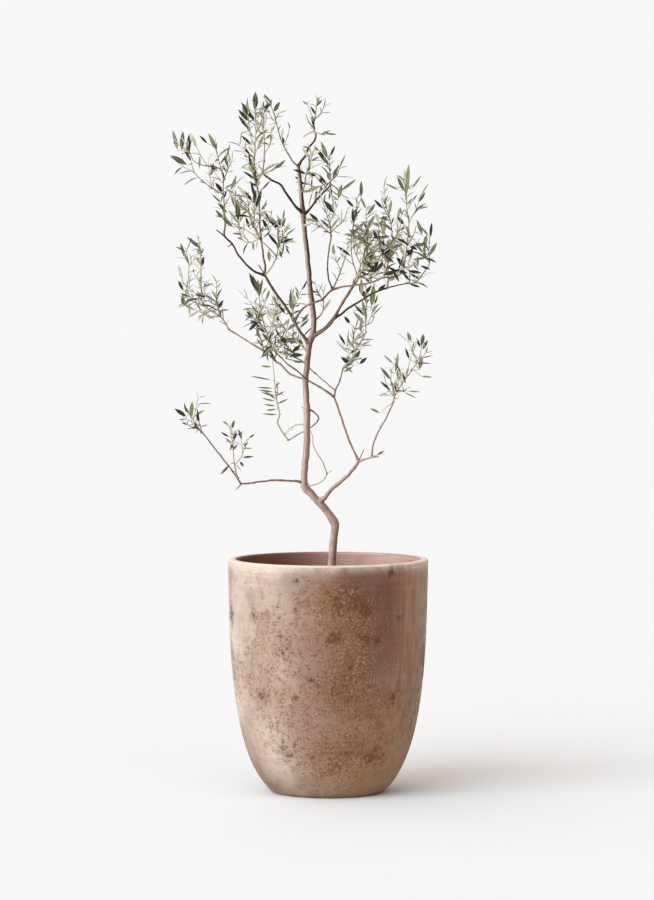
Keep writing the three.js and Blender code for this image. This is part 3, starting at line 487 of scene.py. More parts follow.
def stoneware():
    finish = Finish("stoneware", 0.6, 0.4)
    broad = finish.noise(90, detail=4)
    soft = finish.noise(38, detail=4, rough=0.5)
    ragged = finish.noise(17, detail=6, rough=0.65)
    grains = finish.noise(8.5, detail=4, rough=0.6)
    fine = finish.noise(2.6, detail=3, rough=0.6)
    sand = finish.cells(3.6)
    turning = finish.noise(5, stretch=(40, 40, 1), detail=4)
    running = finish.noise(8, stretch=(1, 1, 14), detail=5)

    def patches(name, uneven, spread, low, high, most):
        """A mark's mask with an uneven edge."""
        shift = finish.step(uneven, 0.3, 0.7, -spread, spread)
        return finish.step(finish.math("ADD", finish.attribute(name), shift), low, high, 0, most)

    def both(first, second):
        return finish.math("MULTIPLY", first, second)

    def laid_over(body, mask, share, colour):
        return finish.blend(both(mask, share), body, paint(colour))

    # the smooth patches; tan and haze, which are also painted light on the right and left; the
    # turning lines; stains, with painted shade on the right edge; and the streaks
    body = finish.blend(finish.step(broad, 0.3, 0.7), paint("6d4c36"), paint("7a5941"))
    body = finish.blend(patches("tan", soft, 0.25, -0.1, 1.1, 0.9), body, paint("946f4b"))
    body = finish.blend(patches("haze", soft, 0.1, -0.1, 1.1, 1.0), body, paint("d6c7b8"))
    body = finish.blend(finish.step(turning, 0.4, 0.65, 0, 0.25), body, paint("a78670"))
    body = finish.blend(patches("violet", soft, 0.3, 0.0, 1.0, 0.7), body, paint("8f786a"))
    body = finish.blend(patches("stain", soft, 0.25, 0.0, 1.1, 0.7), body, paint("583625"))
    streak = both(finish.attribute("streak"), finish.step(running, 0.4, 0.66))
    body = laid_over(body, finish.step(streak, 0.1, 0.7), 0.6, "7a4f33")
    body = laid_over(body, patches("crust", soft, 0.1, 0.0, 0.9, 1.0), 0.5, "5d3826")

    # the sandy places, with hollows between their grains, wider pits and pale crumbs
    sand_mask = patches("sand", ragged, 0.45, 0.15, 1.0, 1.0)
    body = laid_over(body, sand_mask, 0.26, "9f744c")
    hollows = both(finish.step(sand, 0.42, 0.2), finish.step(grains, 0.4, 0.6))
    hollows = both(hollows, sand_mask)
    body = laid_over(body, hollows, 0.5, "67391b")
    pits = both(finish.step(finish.cells(7), 0.38, 0.22), sand_mask)
    pits = both(pits, finish.step(ragged, 0.46, 0.58))
    body = laid_over(body, pits, 0.54, "6b3d1f")
    crumbs = both(finish.step(sand, 0.5, 0.75), sand_mask)
    body = laid_over(body, crumbs, 0.26, "c7aa8e")

    # the dark crust, and fine specks everywhere
    sunk = finish.math("ADD", grains, both(finish.attribute("crust"), 0.27))
    crust_mask = finish.step(sunk, 0.65, 0.75)
    body = laid_over(body, crust_mask, 0.64, "5a3116")
    body = finish.blend(finish.step(fine, 0.5, 0.75, 0, 0.25), body, paint("5f3f2a"))

    # the inner wall, painted dark on the left as shade and pale on the right as light, and the lip
    across = finish.step(finish.split(finish.place)["X"], INSIDE_PAINTED_SHADE, INSIDE_PAINTED_LIGHT)
    inside = finish.blend(across, paint("724533"), paint("cfb0a0"))
    inside = finish.blend(finish.step(broad, 0.4, 0.7, 0, 0.4), inside, paint("8a6453"))
    inside = finish.blend(finish.step(turning, 0.42, 0.6, 0, 0.3), inside, paint("704734"))
    body = finish.blend(finish.attribute("inner_wall"), body, inside)
    lip = both(finish.attribute("lip"), finish.step(soft, 0.3, 0.5, 0.5, 0.9))
    body = finish.blend(lip, body, paint("efe4dc"))

    # dull and bumpy where it is rough
    rough_places = finish.math("MAXIMUM", crust_mask, sand_mask)
    dull = finish.step(rough_places, 0.0, 1.0, 0.5, 0.85)
    sunken = finish.math("MAXIMUM", finish.math("MAXIMUM", hollows, pits), crust_mask)
    normal = finish.bump(turning, 0.5)
    normal = finish.bump(finish.math("SUBTRACT", crumbs, sunken), 1.1, normal)
    normal = finish.bump(fine, 0.8, normal)
    return finish.done(body, dull, normal)


pot_mesh.materials.append(stoneware())
print("nodes in the pot's finish:", len(pot_mesh.materials[0].node_tree.nodes))

# %% [markdown]
# ## The soil
#
# The soil lies 60 mm below the rim and shows only from above. It is spun from a short
# profile, as the pot is, and its top is pushed up and down into crumbs. It ends a hair
# short of the pot's wall. The colour is a dark brown with paler grains.

# %% Soil
SOIL_LEVEL = 410
SOIL_DEPTH = 60
SOIL_CLEAR = 0.6
SOIL_RINGS = 62
SOIL_STEPS = 200
CRUMB_HEIGHT = 2.2
CRUMB_SIZE = 13
CRUMB_SINK = 0.4


def soil_mesh():
    edge = pot_radius(SOIL_LEVEL) - POT_WALL - SOIL_CLEAR
    foot = pot_radius(SOIL_LEVEL - SOIL_DEPTH) - POT_WALL - SOIL_CLEAR
    points = [(edge * share, SOIL_LEVEL) for share in np.linspace(0, 1, SOIL_RINGS)]
    points += [(foot, SOIL_LEVEL - SOIL_DEPTH), (0, SOIL_LEVEL - SOIL_DEPTH)]
    mesh = closed_mesh("soil_surface", spin_profile(points, SOIL_STEPS))
    for vertex in mesh.vertices:
        radius = math.hypot(vertex.co.x, vertex.co.y) / MM
        if vertex.co.z > (SOIL_LEVEL - 1) * MM and radius < edge - 1:
            rise = layered_noise(vertex.co, CRUMB_SIZE, layers=5) - CRUMB_SINK
            vertex.co.z += CRUMB_HEIGHT * rise * MM
    return mesh


def crumbly_soil():
    finish = Finish("soil", 0.95, 0.15)
    crumbs = finish.noise(6, detail=5, rough=0.7)
    grains = finish.noise(1.8, detail=2)
    colour = finish.blend(finish.step(crumbs, 0.3, 0.7), paint("2c211a"), paint("57432f"))
    colour = finish.blend(finish.step(grains, 0.66, 0.74, 0, 0.6), colour, paint("8f7a5e"))
    normal = finish.bump(grains, 0.5, finish.bump(crumbs, 1.6))
    return finish.done(colour, None, normal)


soil = add_piece("soil_surface", soil_mesh(), ["soil"])
soil.data.materials.append(crumbly_soil())

# %% [markdown]
# ## The tree's plan
#
# A tree is easiest to plan as lines. Each limb is a list of points from its foot to its
# tip, and its row says which limb carries it. The numbers are those of the plain model, so
# every bough follows the bough that it replaces. Only a few differ, by up to 12 mm, to
# follow the photograph more nearly: the first points of the left upper bough, the thickness
# of the right low bough, and the stem and one shoot of the loop's leaves. A foliage mass is
# a stem and the shoots that part from it.

# %% Trunk and boughs
TRUNK_ROUTE = [
    (7, 0, 405), (8, 0, 460), (11, 1, 505), (14, 2, 538), (5, 2, 555), (-13, 1, 578),
    (-32, 0, 599), (-46, -1, 614), (-48, -2, 632), (-45, -2, 670), (-42, -1, 725),
    (-43, 0, 780), (-45, 1, 825), (-41, 2, 868), (-37, 2, 902), (-29, 1, 930), (-29, 0, 960),
    (-34, 0, 995), (-38, -1, 1040), (-43, -2, 1090), (-49, -1, 1150), (-53, 0, 1195),
    (-60, 2, 1257),
]

# name, limb that carries it, radius at the foot and at the tip, route
BOUGHS = [
    ("leader", "trunk", 3.2, 2.3,
     [(-60, 3, 1257), (-54, 3, 1266), (-44, 4, 1280), (-39, 6, 1294), (-28, 9, 1308),
      (-24, 9, 1318)]),
    ("left-upper-bough", "trunk", 3.4, 2.4,
     [(-51, -2, 1164), (-64, -14, 1176), (-80, -27, 1197), (-97, -39, 1221),
      (-114, -48, 1229), (-130, -57, 1242)]),
    ("right-upper-bough", "trunk", 3.0, 2.1,
     [(-50, -2, 1160), (-38, 9, 1170), (-23, 24, 1190), (-8, 39, 1206), (5, 51, 1221)]),
    ("right-main-bough", "trunk", 3.9, 2.7,
     [(-31, 2, 916), (-15, -6, 925), (0, -14, 938), (12, -20, 953), (30, -24, 985),
      (45, -30, 1009), (57, -34, 1027)]),
    ("right-outer-bough", "right-main-bough", 2.9, 2.2,
     [(12, -20, 953), (24, -12, 960), (42, 0, 975), (67, 15, 989), (95, 33, 1005),
      (120, 48, 1014)]),
    ("left-main-bough", "trunk", 4.2, 3.5,
     [(-37, 3, 901), (-48, -2, 915), (-58, -8, 930), (-68, -12, 947)]),
    ("left-main-arm", "left-main-bough", 3.4, 3.0,
     [(-68, -12, 947), (-80, -18, 968), (-97, -24, 993), (-110, -30, 1012),
      (-119, -34, 1026), (-126, -39, 1039)]),
    ("crossing-bough", "left-main-bough", 2.8, 2.3,
     [(-68, -12, 947), (-60, -20, 960), (-48, -27, 974), (-33, -33, 983), (-12, -36, 990),
      (0, -42, 1003), (9, -46, 1011)]),
    ("right-front-bough", "crossing-bough", 2.3, 1.9,
     [(9, -46, 1011), (28, -54, 1016), (50, -63, 1019), (80, -75, 1023), (110, -87, 1035)]),
    ("inner-riser", "crossing-bough", 1.9, 1.6,
     [(9, -46, 1011), (1, -57, 1030), (-1, -64, 1052), (0, -70, 1075), (4, -75, 1100),
      (6, -78, 1116)]),
    ("left-arm", "left-main-arm", 2.8, 2.1,
     [(-126, -39, 1039), (-145, -51, 1046), (-163, -66, 1061), (-178, -78, 1080),
      (-190, -90, 1101), (-205, -102, 1117), (-203, -110, 1136)]),
    ("left-upright", "left-main-arm", 2.6, 2.1,
     [(-126, -39, 1039), (-126, -18, 1056), (-130, 3, 1080), (-134, 24, 1106)]),
    ("left-top-bough", "left-upright", 2.1, 1.7,
     [(-134, 24, 1106), (-137, 39, 1140), (-139, 54, 1190)]),
    ("right-low-bough", "trunk", 5.4, 3.7,
     [(-19, 2, 584), (-6, -6, 593), (5, -12, 609), (30, -22, 630), (50, -32, 650),
      (61, -38, 667)]),
    ("right-riser", "right-low-bough", 2.9, 2.3,
     [(61, -38, 667), (52, -39, 687), (40, -39, 715), (30, -39, 745), (20, -39, 775),
      (12, -39, 796)]),
    ("right-mid-bough", "right-riser", 2.0, 1.7,
     [(12, -39, 796), (15, -32, 809), (22, -16, 825), (28, 0, 843), (30, 9, 852)]),
    ("long-left-bough", "right-riser", 2.6, 2.2,
     [(12, -39, 796), (-3, -40, 808), (-22, -39, 819), (-43, -33, 830), (-62, -24, 836),
      (-78, -15, 843), (-95, -6, 860), (-113, 3, 874), (-130, 15, 888)]),
    ("long-left-arm", "long-left-bough", 2.2, 1.8,
     [(-130, 15, 888), (-157, 30, 904), (-176, 42, 915), (-200, 57, 929)]),
    ("upper-left-bough", "long-left-bough", 1.9, 1.6,
     [(-40, -34, 829), (-50, -48, 838), (-60, -57, 848), (-78, -69, 861), (-95, -81, 878),
      (-113, -90, 896)]),
    ("hidden-twig", "right-mid-bough", 1.6, 1.4,
     [(15, -32, 809), (4, -12, 817), (-8, 6, 828), (-22, 18, 839), (-38, 28, 853),
      (-52, 38, 864), (-68, 45, 867), (-84, 51, 871)]),
    ("right-low-arm", "right-low-bough", 2.5, 2.1,
     [(61, -38, 667), (70, -48, 671), (86, -64, 677)]),
    ("right-low-riser", "right-low-arm", 2.1, 1.8,
     [(86, -64, 677), (89, -78, 700), (96, -88, 720), (106, -99, 741), (118, -111, 763),
      (129, -120, 788)]),
    ("loop-twig", "trunk", 1.9, 1.6,
     [(-43, 0, 768), (-35, 8, 768), (-26, 14, 762), (-18, 18, 753), (-22, 22, 744),
      (-35, 27, 733), (-50, 30, 724), (-66, 34, 715), (-80, 39, 706)]),
    ("left-low-bough", "trunk", 2.6, 2.1,
     [(-47, -3, 622), (-62, -9, 626), (-90, -18, 628), (-115, -27, 628), (-140, -36, 626),
      (-174, -48, 623)]),
    ("left-low-arm", "left-low-bough", 2.1, 1.7,
     [(-174, -48, 623), (-185, -50, 640), (-196, -54, 656), (-222, -69, 690),
      (-243, -81, 718), (-251, -84, 728)]),
    ("back-right-bough", "trunk", 3.0, 2.2,
     [(-31, 2, 920), (-15, 24, 927), (0, 48, 940), (13, 72, 956), (31, 102, 987),
      (47, 129, 1012)]),
]
print("limbs to grow:", 1 + len(BOUGHS))

# %% [markdown]
# Each mass says which limb carries it, the usual length of its leaves, how much of its stem
# is bare, the route of its stem and those of its shoots. A shoot starts on the stem. The
# words dark, mixed and pale say which leaf colours the mass has most of. The leaves are a
# little shorter here than the plain model's coarse ones, since there are more of them, and
# in three masses they start lower on the stem.

# %% Foliage masses
# name, limb that carries it, leaf length, bare start, colours, stem, shoots
MASSES = [
    ("leaves-top", "leader", 19, 10, "pale",
     [(-24, 9, 1318), (-29, 10, 1337), (-25, 12, 1362), (-22, 14, 1387)],
     [[(-29, 10, 1334), (-38, 0, 1344), (-44, -9, 1360)],
      [(-26, 12, 1352), (-15, 21, 1362), (-9, 26, 1376)],
      [(-25, 9, 1326), (-16, 0, 1322), (-6, -9, 1322)],
      [(-26, 9, 1328), (-38, 15, 1324), (-50, 21, 1316)]]),
    ("leaves-top-left", "trunk", 24, 30, "pale",
     [(-60, 3, 1257), (-70, -6, 1266), (-78, -12, 1279), (-86, -18, 1292), (-95, -24, 1312),
      (-101, -28, 1335), (-107, -33, 1358), (-113, -36, 1374)],
     [[(-104, -30, 1350), (-98, -15, 1362)]]),
    ("leaves-front-top", "trunk", 33, 40, "mixed",
     [(-54, 0, 1203), (-48, -18, 1215), (-44, -30, 1238), (-37, -39, 1260), (-28, -45, 1286)],
     [[(-44, -30, 1240), (-36, -51, 1244), (-26, -63, 1240)]]),
    ("leaves-left-upper", "left-upper-bough", 27, 22, "pale",
     [(-130, -57, 1242), (-127, -63, 1270), (-126, -68, 1305), (-129, -72, 1345)],
     [[(-127, -64, 1280), (-116, -84, 1296), (-112, -96, 1320)]]),
    ("leaves-right-upper", "right-upper-bough", 28, 6, "mixed",
     [(5, 51, 1221), (4, 57, 1250), (2, 63, 1272)],
     [[(5, 52, 1228), (17, 63, 1240), (23, 72, 1254)],
      [(5, 51, 1223), (18, 66, 1214), (30, 78, 1200)],
      [(4, 52, 1226), (-12, 57, 1220), (-30, 60, 1210)],
      [(5, 51, 1222), (6, 30, 1206), (10, 12, 1190)]]),
    ("leaves-right-core", "right-main-bough", 29, 4, "mixed",
     [(57, -34, 1027), (66, -39, 1045), (75, -42, 1070), (80, -45, 1100), (76, -48, 1130)],
     [[(60, -36, 1034), (49, -39, 1068), (46, -42, 1100), (50, -45, 1136), (60, -48, 1176),
       (66, -51, 1192)],
      [(62, -38, 1037), (80, -24, 1032), (98, -12, 1040)],
      [(72, -42, 1060), (86, -18, 1072), (92, 0, 1090)]]),
    ("leaves-right-middle", "right-front-bough", 29, 4, "mixed",
     [(110, -87, 1035), (118, -96, 1062), (126, -104, 1095), (125, -110, 1135),
      (116, -114, 1170), (112, -117, 1182)],
     [[(120, -98, 1070), (106, -132, 1084), (98, -156, 1104)],
      [(126, -105, 1104), (140, -138, 1128), (144, -156, 1158)]]),
    ("leaves-right-front", "right-front-bough", 30, 34, "mixed",
     [(110, -87, 1035), (130, -75, 1036), (147, -63, 1044), (153, -54, 1070),
      (158, -48, 1105), (161, -42, 1140), (157, -39, 1175), (156, -36, 1222)],
     [[(157, -50, 1098), (170, -33, 1118), (176, -24, 1138)],
      [(132, -74, 1036), (142, -93, 1048), (150, -111, 1068)]]),
    ("leaves-right-outer", "right-outer-bough", 27, 46, "mixed",
     [(120, 48, 1014), (150, 57, 1021), (178, 64, 1026), (193, 69, 1044), (205, 74, 1062),
      (204, 78, 1090), (206, 82, 1118)],
     [[(164, 62, 1024), (166, 90, 1040), (164, 123, 1064)],
      [(205, 74, 1066), (196, 54, 1080), (190, 39, 1098)]]),
    ("leaves-right-back", "right-outer-bough", 29, 14, "mixed",
     [(120, 48, 1014), (122, 75, 1040), (119, 111, 1078), (113, 138, 1114), (110, 153, 1138)],
     [[(120, 99, 1066), (138, 126, 1092), (146, 147, 1122)]]),
    ("leaves-right-inner", "inner-riser", 26, 6, "mixed",
     [(6, -78, 1116), (4, -84, 1135), (-2, -90, 1158), (-9, -93, 1180)],
     [[(5, -81, 1124), (18, -81, 1136), (30, -81, 1146), (38, -81, 1168)],
      [(5, -80, 1121), (-6, -96, 1130), (-18, -105, 1144)]]),
    ("leaves-inner-low", "crossing-bough", 22, 20, "pale",
     [(9, -46, 1011), (18, -39, 1030), (28, -30, 1056), (36, -21, 1080), (40, -15, 1098)],
     []),
    ("leaves-beside-trunk", "trunk", 25, 30, "mixed",
     [(-29, 0, 947), (-20, 10, 954), (-11, 18, 966), (-9, 24, 984), (-9, 30, 1004)],
     []),
    ("leaves-fork", "left-main-bough", 29, 12, "mixed",
     [(-68, -12, 947), (-70, -24, 958), (-70, -39, 974), (-72, -48, 994)],
     []),
    ("leaves-left-high", "left-arm", 29, 18, "pale",
     [(-203, -110, 1136), (-204, -120, 1165), (-206, -129, 1200), (-207, -135, 1232),
      (-214, -141, 1262), (-221, -147, 1288)],
     [[(-206, -129, 1198), (-228, -138, 1211), (-252, -144, 1229), (-264, -147, 1244),
       (-268, -150, 1262)],
      [(-207, -134, 1222), (-199, -117, 1244), (-190, -102, 1264)],
      [(-256, -146, 1236), (-262, -156, 1262), (-274, -162, 1290)]]),
    ("leaves-left-top", "left-top-bough", 31, 6, "mixed",
     [(-139, 54, 1190), (-143, 63, 1222), (-148, 72, 1256), (-148, 78, 1292),
      (-146, 84, 1335), (-147, 87, 1374)],
     [[(-147, 70, 1246), (-158, 87, 1268), (-163, 99, 1290)],
      [(-148, 78, 1300), (-157, 93, 1322), (-161, 102, 1350)],
      [(-146, 82, 1326), (-136, 93, 1346), (-133, 99, 1374)],
      [(-144, 66, 1230), (-134, 99, 1250), (-128, 123, 1274)]]),
    ("leaves-left-centre", "left-upright", 28, 6, "mixed",
     [(-134, 24, 1106), (-144, 12, 1128), (-155, 3, 1154), (-161, -3, 1190)],
     [[(-140, 16, 1120), (-126, -12, 1132), (-116, -30, 1148), (-112, -42, 1168)],
      [(-138, 20, 1115), (-156, 32, 1105), (-172, 39, 1110), (-180, 48, 1140),
       (-184, 54, 1170)],
      [(-150, 8, 1142), (-148, 36, 1158), (-148, 66, 1178)]]),
    ("leaves-left-inner", "left-main-arm", 28, 50, "mixed",
     [(-126, -39, 1039), (-113, -60, 1055), (-102, -74, 1076), (-99, -82, 1100),
      (-98, -88, 1128), (-100, -93, 1148)],
     [[(-99, -81, 1096), (-94, -99, 1104), (-90, -114, 1116)]]),
    ("leaves-left-far", "long-left-arm", 27, 10, "pale",
     [(-200, 57, 929), (-216, 66, 954), (-237, 75, 967), (-253, 84, 980), (-257, 90, 1010),
      (-258, 99, 1052), (-259, 105, 1090), (-263, 108, 1112)],
     [[(-250, 82, 977), (-270, 99, 984), (-289, 114, 997), (-285, 129, 1030),
       (-284, 138, 1062), (-289, 144, 1086)],
      [(-216, 66, 954), (-222, 48, 976), (-224, 33, 1000), (-224, 21, 1024)],
      [(-236, 78, 966), (-252, 99, 962), (-270, 111, 968)]]),
    ("leaves-front-left", "upper-left-bough", 30, 6, "mixed",
     [(-113, -90, 896), (-121, -105, 925), (-130, -120, 955), (-134, -132, 982),
      (-137, -141, 1004)],
     [[(-121, -108, 930), (-137, -129, 946), (-150, -147, 960)],
      [(-113, -90, 898), (-96, -108, 898), (-80, -120, 908)],
      [(-113, -90, 897), (-92, -105, 884), (-72, -114, 880)]]),
    ("leaves-mid-left", "long-left-bough", 29, 8, "mixed",
     [(-130, 15, 888), (-134, 0, 908), (-142, -12, 932), (-150, -21, 952)],
     [[(-132, 8, 898), (-120, -15, 892), (-124, -36, 880)],
      [(-131, 12, 892), (-112, -9, 906), (-90, -24, 914)]]),
    ("leaves-behind-trunk", "hidden-twig", 26, 5, "mixed",
     [(-84, 51, 871), (-88, 60, 893), (-86, 66, 916), (-82, 69, 936)],
     [[(-84, 52, 876), (-72, 63, 884), (-60, 72, 894)]]),
    ("leaves-right-mid", "right-mid-bough", 30, 6, "mixed",
     [(30, 9, 852), (44, 24, 860), (54, 39, 878), (50, 57, 903), (54, 69, 930)],
     [[(52, 45, 888), (66, 54, 903), (76, 62, 924), (76, 70, 950), (78, 78, 980)],
      [(36, 15, 855), (40, -6, 862), (52, -24, 872)],
      [(77, 62, 936), (88, 74, 944), (94, 84, 958)]]),
    ("leaves-right-low", "right-low-riser", 28, 8, "pale",
     [(129, -120, 788), (131, -129, 808), (124, -144, 828), (124, -159, 848)],
     [[(131, -126, 800), (148, -120, 828), (166, -114, 852), (180, -108, 876),
       (186, -105, 902)],
      [(131, -128, 806), (146, -147, 812), (162, -162, 820)],
      [(131, -124, 798), (138, -96, 812), (140, -69, 832)],
      [(130, -124, 800), (118, -111, 816), (112, -102, 836)]]),
    ("leaves-low-right", "right-low-arm", 14, 6, "pale",
     [(86, -64, 677), (95, -75, 681), (103, -81, 684)],
     []),
    ("leaves-loop", "loop-twig", 26, 60, "pale",
     [(-80, 39, 706), (-92, 46, 722), (-102, 54, 742), (-98, 63, 757), (-103, 75, 780),
      (-107, 84, 805), (-109, 93, 832), (-112, 99, 858)],
     [[(-104, 80, 792), (-103, 108, 804), (-104, 132, 822)],
      [(-90, 44, 716), (-80, 60, 726), (-66, 69, 736)]]),
    ("leaves-left-low-tip", "left-low-arm", 25, 8, "dark",
     [(-251, -84, 728), (-262, -90, 742), (-274, -94, 764)],
     [[(-255, -86, 732), (-268, -102, 738), (-278, -114, 744)],
      [(-252, -84, 730), (-252, -108, 740), (-256, -129, 752)]]),
    ("leaves-left-low", "left-low-bough", 22, 30, "pale",
     [(-174, -48, 623), (-181, -75, 640), (-186, -90, 665), (-188, -102, 692),
      (-188, -111, 722)],
     [[(-185, -88, 662), (-172, -114, 680), (-164, -132, 700)]]),
    ("leaves-back-right", "back-right-bough", 29, 8, "mixed",
     [(47, 129, 1012), (62, 147, 1046), (76, 162, 1090), (82, 171, 1126)],
     [[(68, 152, 1060), (56, 174, 1086), (52, 192, 1116)],
      [(58, 142, 1036), (80, 177, 1042), (98, 207, 1060)]]),
    ("leaves-back-left", "trunk", 29, 86, "mixed",
     [(-40, 3, 882), (-48, 24, 892), (-66, 60, 910), (-90, 96, 932), (-110, 126, 950),
      (-128, 150, 976), (-136, 165, 998)],
     [[(-106, 120, 946), (-104, 156, 966), (-108, 186, 992)],
      [(-98, 108, 938), (-122, 126, 934), (-146, 141, 942)]]),
    ("bare-twig", "trunk", 0, 0, "pale",
     [(-47, -3, 617), (-34, -10, 618), (-20, -18, 622), (-8, -27, 631), (-1, -33, 643),
      (8, -36, 650)],
     []),
]

# Shoots without leaves, by the mass that they belong to.
BARE_SHOOTS = {
    "leaves-left-inner": [[(-102, -72, 1078), (-120, -81, 1096), (-145, -84, 1117),
                           (-168, -75, 1132), (-186, -63, 1142)]],
    "bare-twig": [[(-2, -32, 641), (-10, -39, 665), (-20, -42, 681), (-30, -42, 702),
                   (-31, -42, 718), (-36, -39, 730)]],
}
print("masses to grow:", len(MASSES))

# %% [markdown]
# ## Smooth routes
#
# The points are joined by a centripetal Catmull-Rom curve, which goes through each of them
# without loops. A young olive's boughs turn more sharply than that at their nodes, so they
# take a line half-way between the curve and its straight chords. A route is then kept as
# many short steps, so that a place along it can be found from its distance to the foot. The
# first point of a route is moved onto the axis of the limb that carries it, so nothing hangs
# in the air.

# %% Routes
BOUGH_ANGULAR = 0.5


def smooth_points(points, pieces=14, angular=0.0):
    """Points along a smooth curve, or partly along its straight chords."""
    given = np.array(points, float)
    ends = [2 * given[0] - given[1], 2 * given[-1] - given[-2]]
    given = np.vstack([ends[0], given, ends[1]])
    shares = np.linspace(0, 1, pieces, endpoint=False)[:, None]
    dense = []
    for a, b, c, d in zip(given, given[1:], given[2:], given[3:]):
        steps = (b - a, c - b, d - c)
        before, here, after = [math.sqrt(np.linalg.norm(step)) for step in steps]
        leave = ((b - a) / before - (c - a) / (before + here) + (c - b) / here) * here
        arrive = ((c - b) / here - (d - b) / (here + after) + (d - c) / after) * here
        t = shares
        curve = ((2 * t**3 - 3 * t**2 + 1) * b + (t**3 - 2 * t**2 + t) * leave
                 + (3 * t**2 - 2 * t**3) * c + (t**3 - t**2) * arrive)
        dense.append((1 - angular) * curve + angular * (b + (c - b) * t))
    return np.vstack([*dense, given[-2]])


class Route:
    """A line in millimetres, read by the distance along it."""

    def __init__(self, points):
        self.points = np.array(points, float)
        steps = np.linalg.norm(np.diff(self.points, axis=0), axis=1)
        self.along = np.concatenate([[0.0], np.cumsum(steps)])
        self.length = float(self.along[-1])

    def at(self, distance):
        axes = [np.interp(distance, self.along, axis) for axis in self.points.T]
        return np.stack(axes, axis=-1)

    def tangent(self, distance):
        ahead = self.at(min(distance + 1, self.length)) - self.at(max(distance - 1, 0))
        return ahead / np.linalg.norm(ahead)

    def spaced(self, step):
        count = max(1, math.ceil(self.length / step))
        return self.at(np.linspace(0, self.length, count + 1))


def route_from(parent, points, angular=0.0):
    """A route whose foot lies on the parent's axis."""
    axis = parent.spaced(2)
    nearest = axis[np.argmin(np.linalg.norm(axis - points[0], axis=1))]
    return Route(smooth_points([nearest, *points[1:]], angular=angular))


routes = {"trunk": Route(smooth_points(TRUNK_ROUTE))}
for name, carrier, foot, tip, points in BOUGHS:
    routes[name] = route_from(routes[carrier], points, BOUGH_ANGULAR)
print("length of all limbs in mm:", round(sum(route.length for route in routes.values())))

# %% [markdown]
# ## Thickness of the limbs
#
# The trunk tapers from 17 mm to 8 mm across, flares where it enters the soil, and swells at
# its knees and forks. Where a bough leaves its carrier it has a collar, so the two look
# grown together. Small swellings along a limb are old leaf scars, one every few
# centimetres. All of this is one number, the radius, for each step along the route. Next to
# the plain model, the photograph asks for a trunk a little thicker and boughs a fifth
# thinner, so each radius is multiplied by a share.

# %% Radius along a limb
TRUNK_FOOT, TRUNK_TIP = 8, 3.8
TRUNK_FLARE, TRUNK_FLARE_HEIGHT = 5, 14
TAPER_POWER = 0.8
KNOT_HEIGHTS = [545, 616, 768, 908, 1165]
KNOT, KNOT_LENGTH = 1.1, 12
COLLAR, COLLAR_LENGTH, COLLAR_MOST = 0.5, 5.5, 0.6
TRUNK_THICKER, BOUGH_THINNER = 1.08, 0.8
SCAR, SCAR_EVERY, SCAR_LENGTH = 0.28, 31, 3.2
SCAR_JITTER = 9


def trunk_radii(points, share):
    height = points[:, 2]
    taper = TRUNK_FOOT + (TRUNK_TIP - TRUNK_FOOT) * share ** TAPER_POWER
    flare = TRUNK_FLARE * np.exp((SOIL_LEVEL - height) / TRUNK_FLARE_HEIGHT)
    knots = sum(np.exp(-((height - at) / KNOT_LENGTH) ** 2) for at in KNOT_HEIGHTS)
    return TRUNK_THICKER * taper + np.minimum(flare, TRUNK_FLARE) + KNOT * knots


def scars(route, share, draw):
    """Small swellings where leaves have fallen, unevenly spaced."""
    distance = share * route.length
    places = np.arange(SCAR_EVERY / 2, route.length, SCAR_EVERY)
    places = places + SCAR_JITTER * (2 * draw.random(len(places)) - 1)
    return SCAR * sum((np.exp(-((distance - at) / SCAR_LENGTH) ** 2) for at in places),
                      np.zeros_like(distance))


def bough_radii(route, share, foot, tip, carrier_radius):
    distance = share * route.length
    collar = COLLAR * foot * np.exp(-np.maximum(distance - carrier_radius, 0) / COLLAR_LENGTH)
    collar = np.minimum(collar, COLLAR_MOST * carrier_radius)
    return BOUGH_THINNER * (foot + (tip - foot) * share) + collar


print("knots on the trunk at", KNOT_HEIGHTS, "mm")

# %% [markdown]
# ## From lines to limbs
#
# A limb is a round tube of changing radius. Three tools can make one: the Skin modifier, a
# bmesh circle extruded step by step, or a curve with a round bevel. The curve is the
# simplest, because each point of it has its own radius. The curves are made into one mesh,
# their ends closed, and the mesh gets the bark's relief: long low ridges on the trunk, and
# finer ones on the boughs. A limb also kinks a little to and fro between its ends.

# %% Tubes with bark relief
GRAIN_SIZE, GRAIN_STRETCH = 3.0, 2.0


def tubes(name, runs, roundness):
    """One closed mesh of round tubes. Each run is a list of points and their radii."""
    curve = bpy.data.curves.new(name, "CURVE")
    curve.dimensions = "3D"
    curve.bevel_depth = MM
    curve.bevel_resolution = roundness
    curve.use_fill_caps = True
    for points, radii in runs:
        spline = curve.splines.new("POLY")
        spline.points.add(len(points) - 1)
        places = np.column_stack([points * MM, np.ones(len(points))])
        spline.points.foreach_set("co", places.ravel())
        spline.points.foreach_set("radius", np.asarray(radii, np.float32))
    line = bpy.data.objects.new(name + "_line", curve)
    scene.collection.objects.link(line)
    drawn = line.evaluated_get(bpy.context.evaluated_depsgraph_get())
    shape = bmesh.new()
    shape.from_mesh(bpy.data.meshes.new_from_object(drawn))
    bpy.data.objects.remove(line)
    return closed_mesh(name, shape)


def add_relief(mesh, ridge_height, ridge_size, ridge_stretch, grain_height):
    normals = [vertex.normal.copy() for vertex in mesh.vertices]
    for vertex, normal in zip(mesh.vertices, normals):
        ridge = layered_noise(vertex.co, ridge_size, ridge_stretch, 3)
        grain = layered_noise(vertex.co, GRAIN_SIZE, GRAIN_STRETCH, 2)
        vertex.co += normal * (ridge_height * ridge + grain_height * grain) * MM


BARK_STEP = 2.2
END_ROUND = 0.55
KINK, KINK_SIZE, KINK_APART = 1.3, 24, 500
TRUNK_SUNK = 4
limb_draw = np.random.default_rng(11)


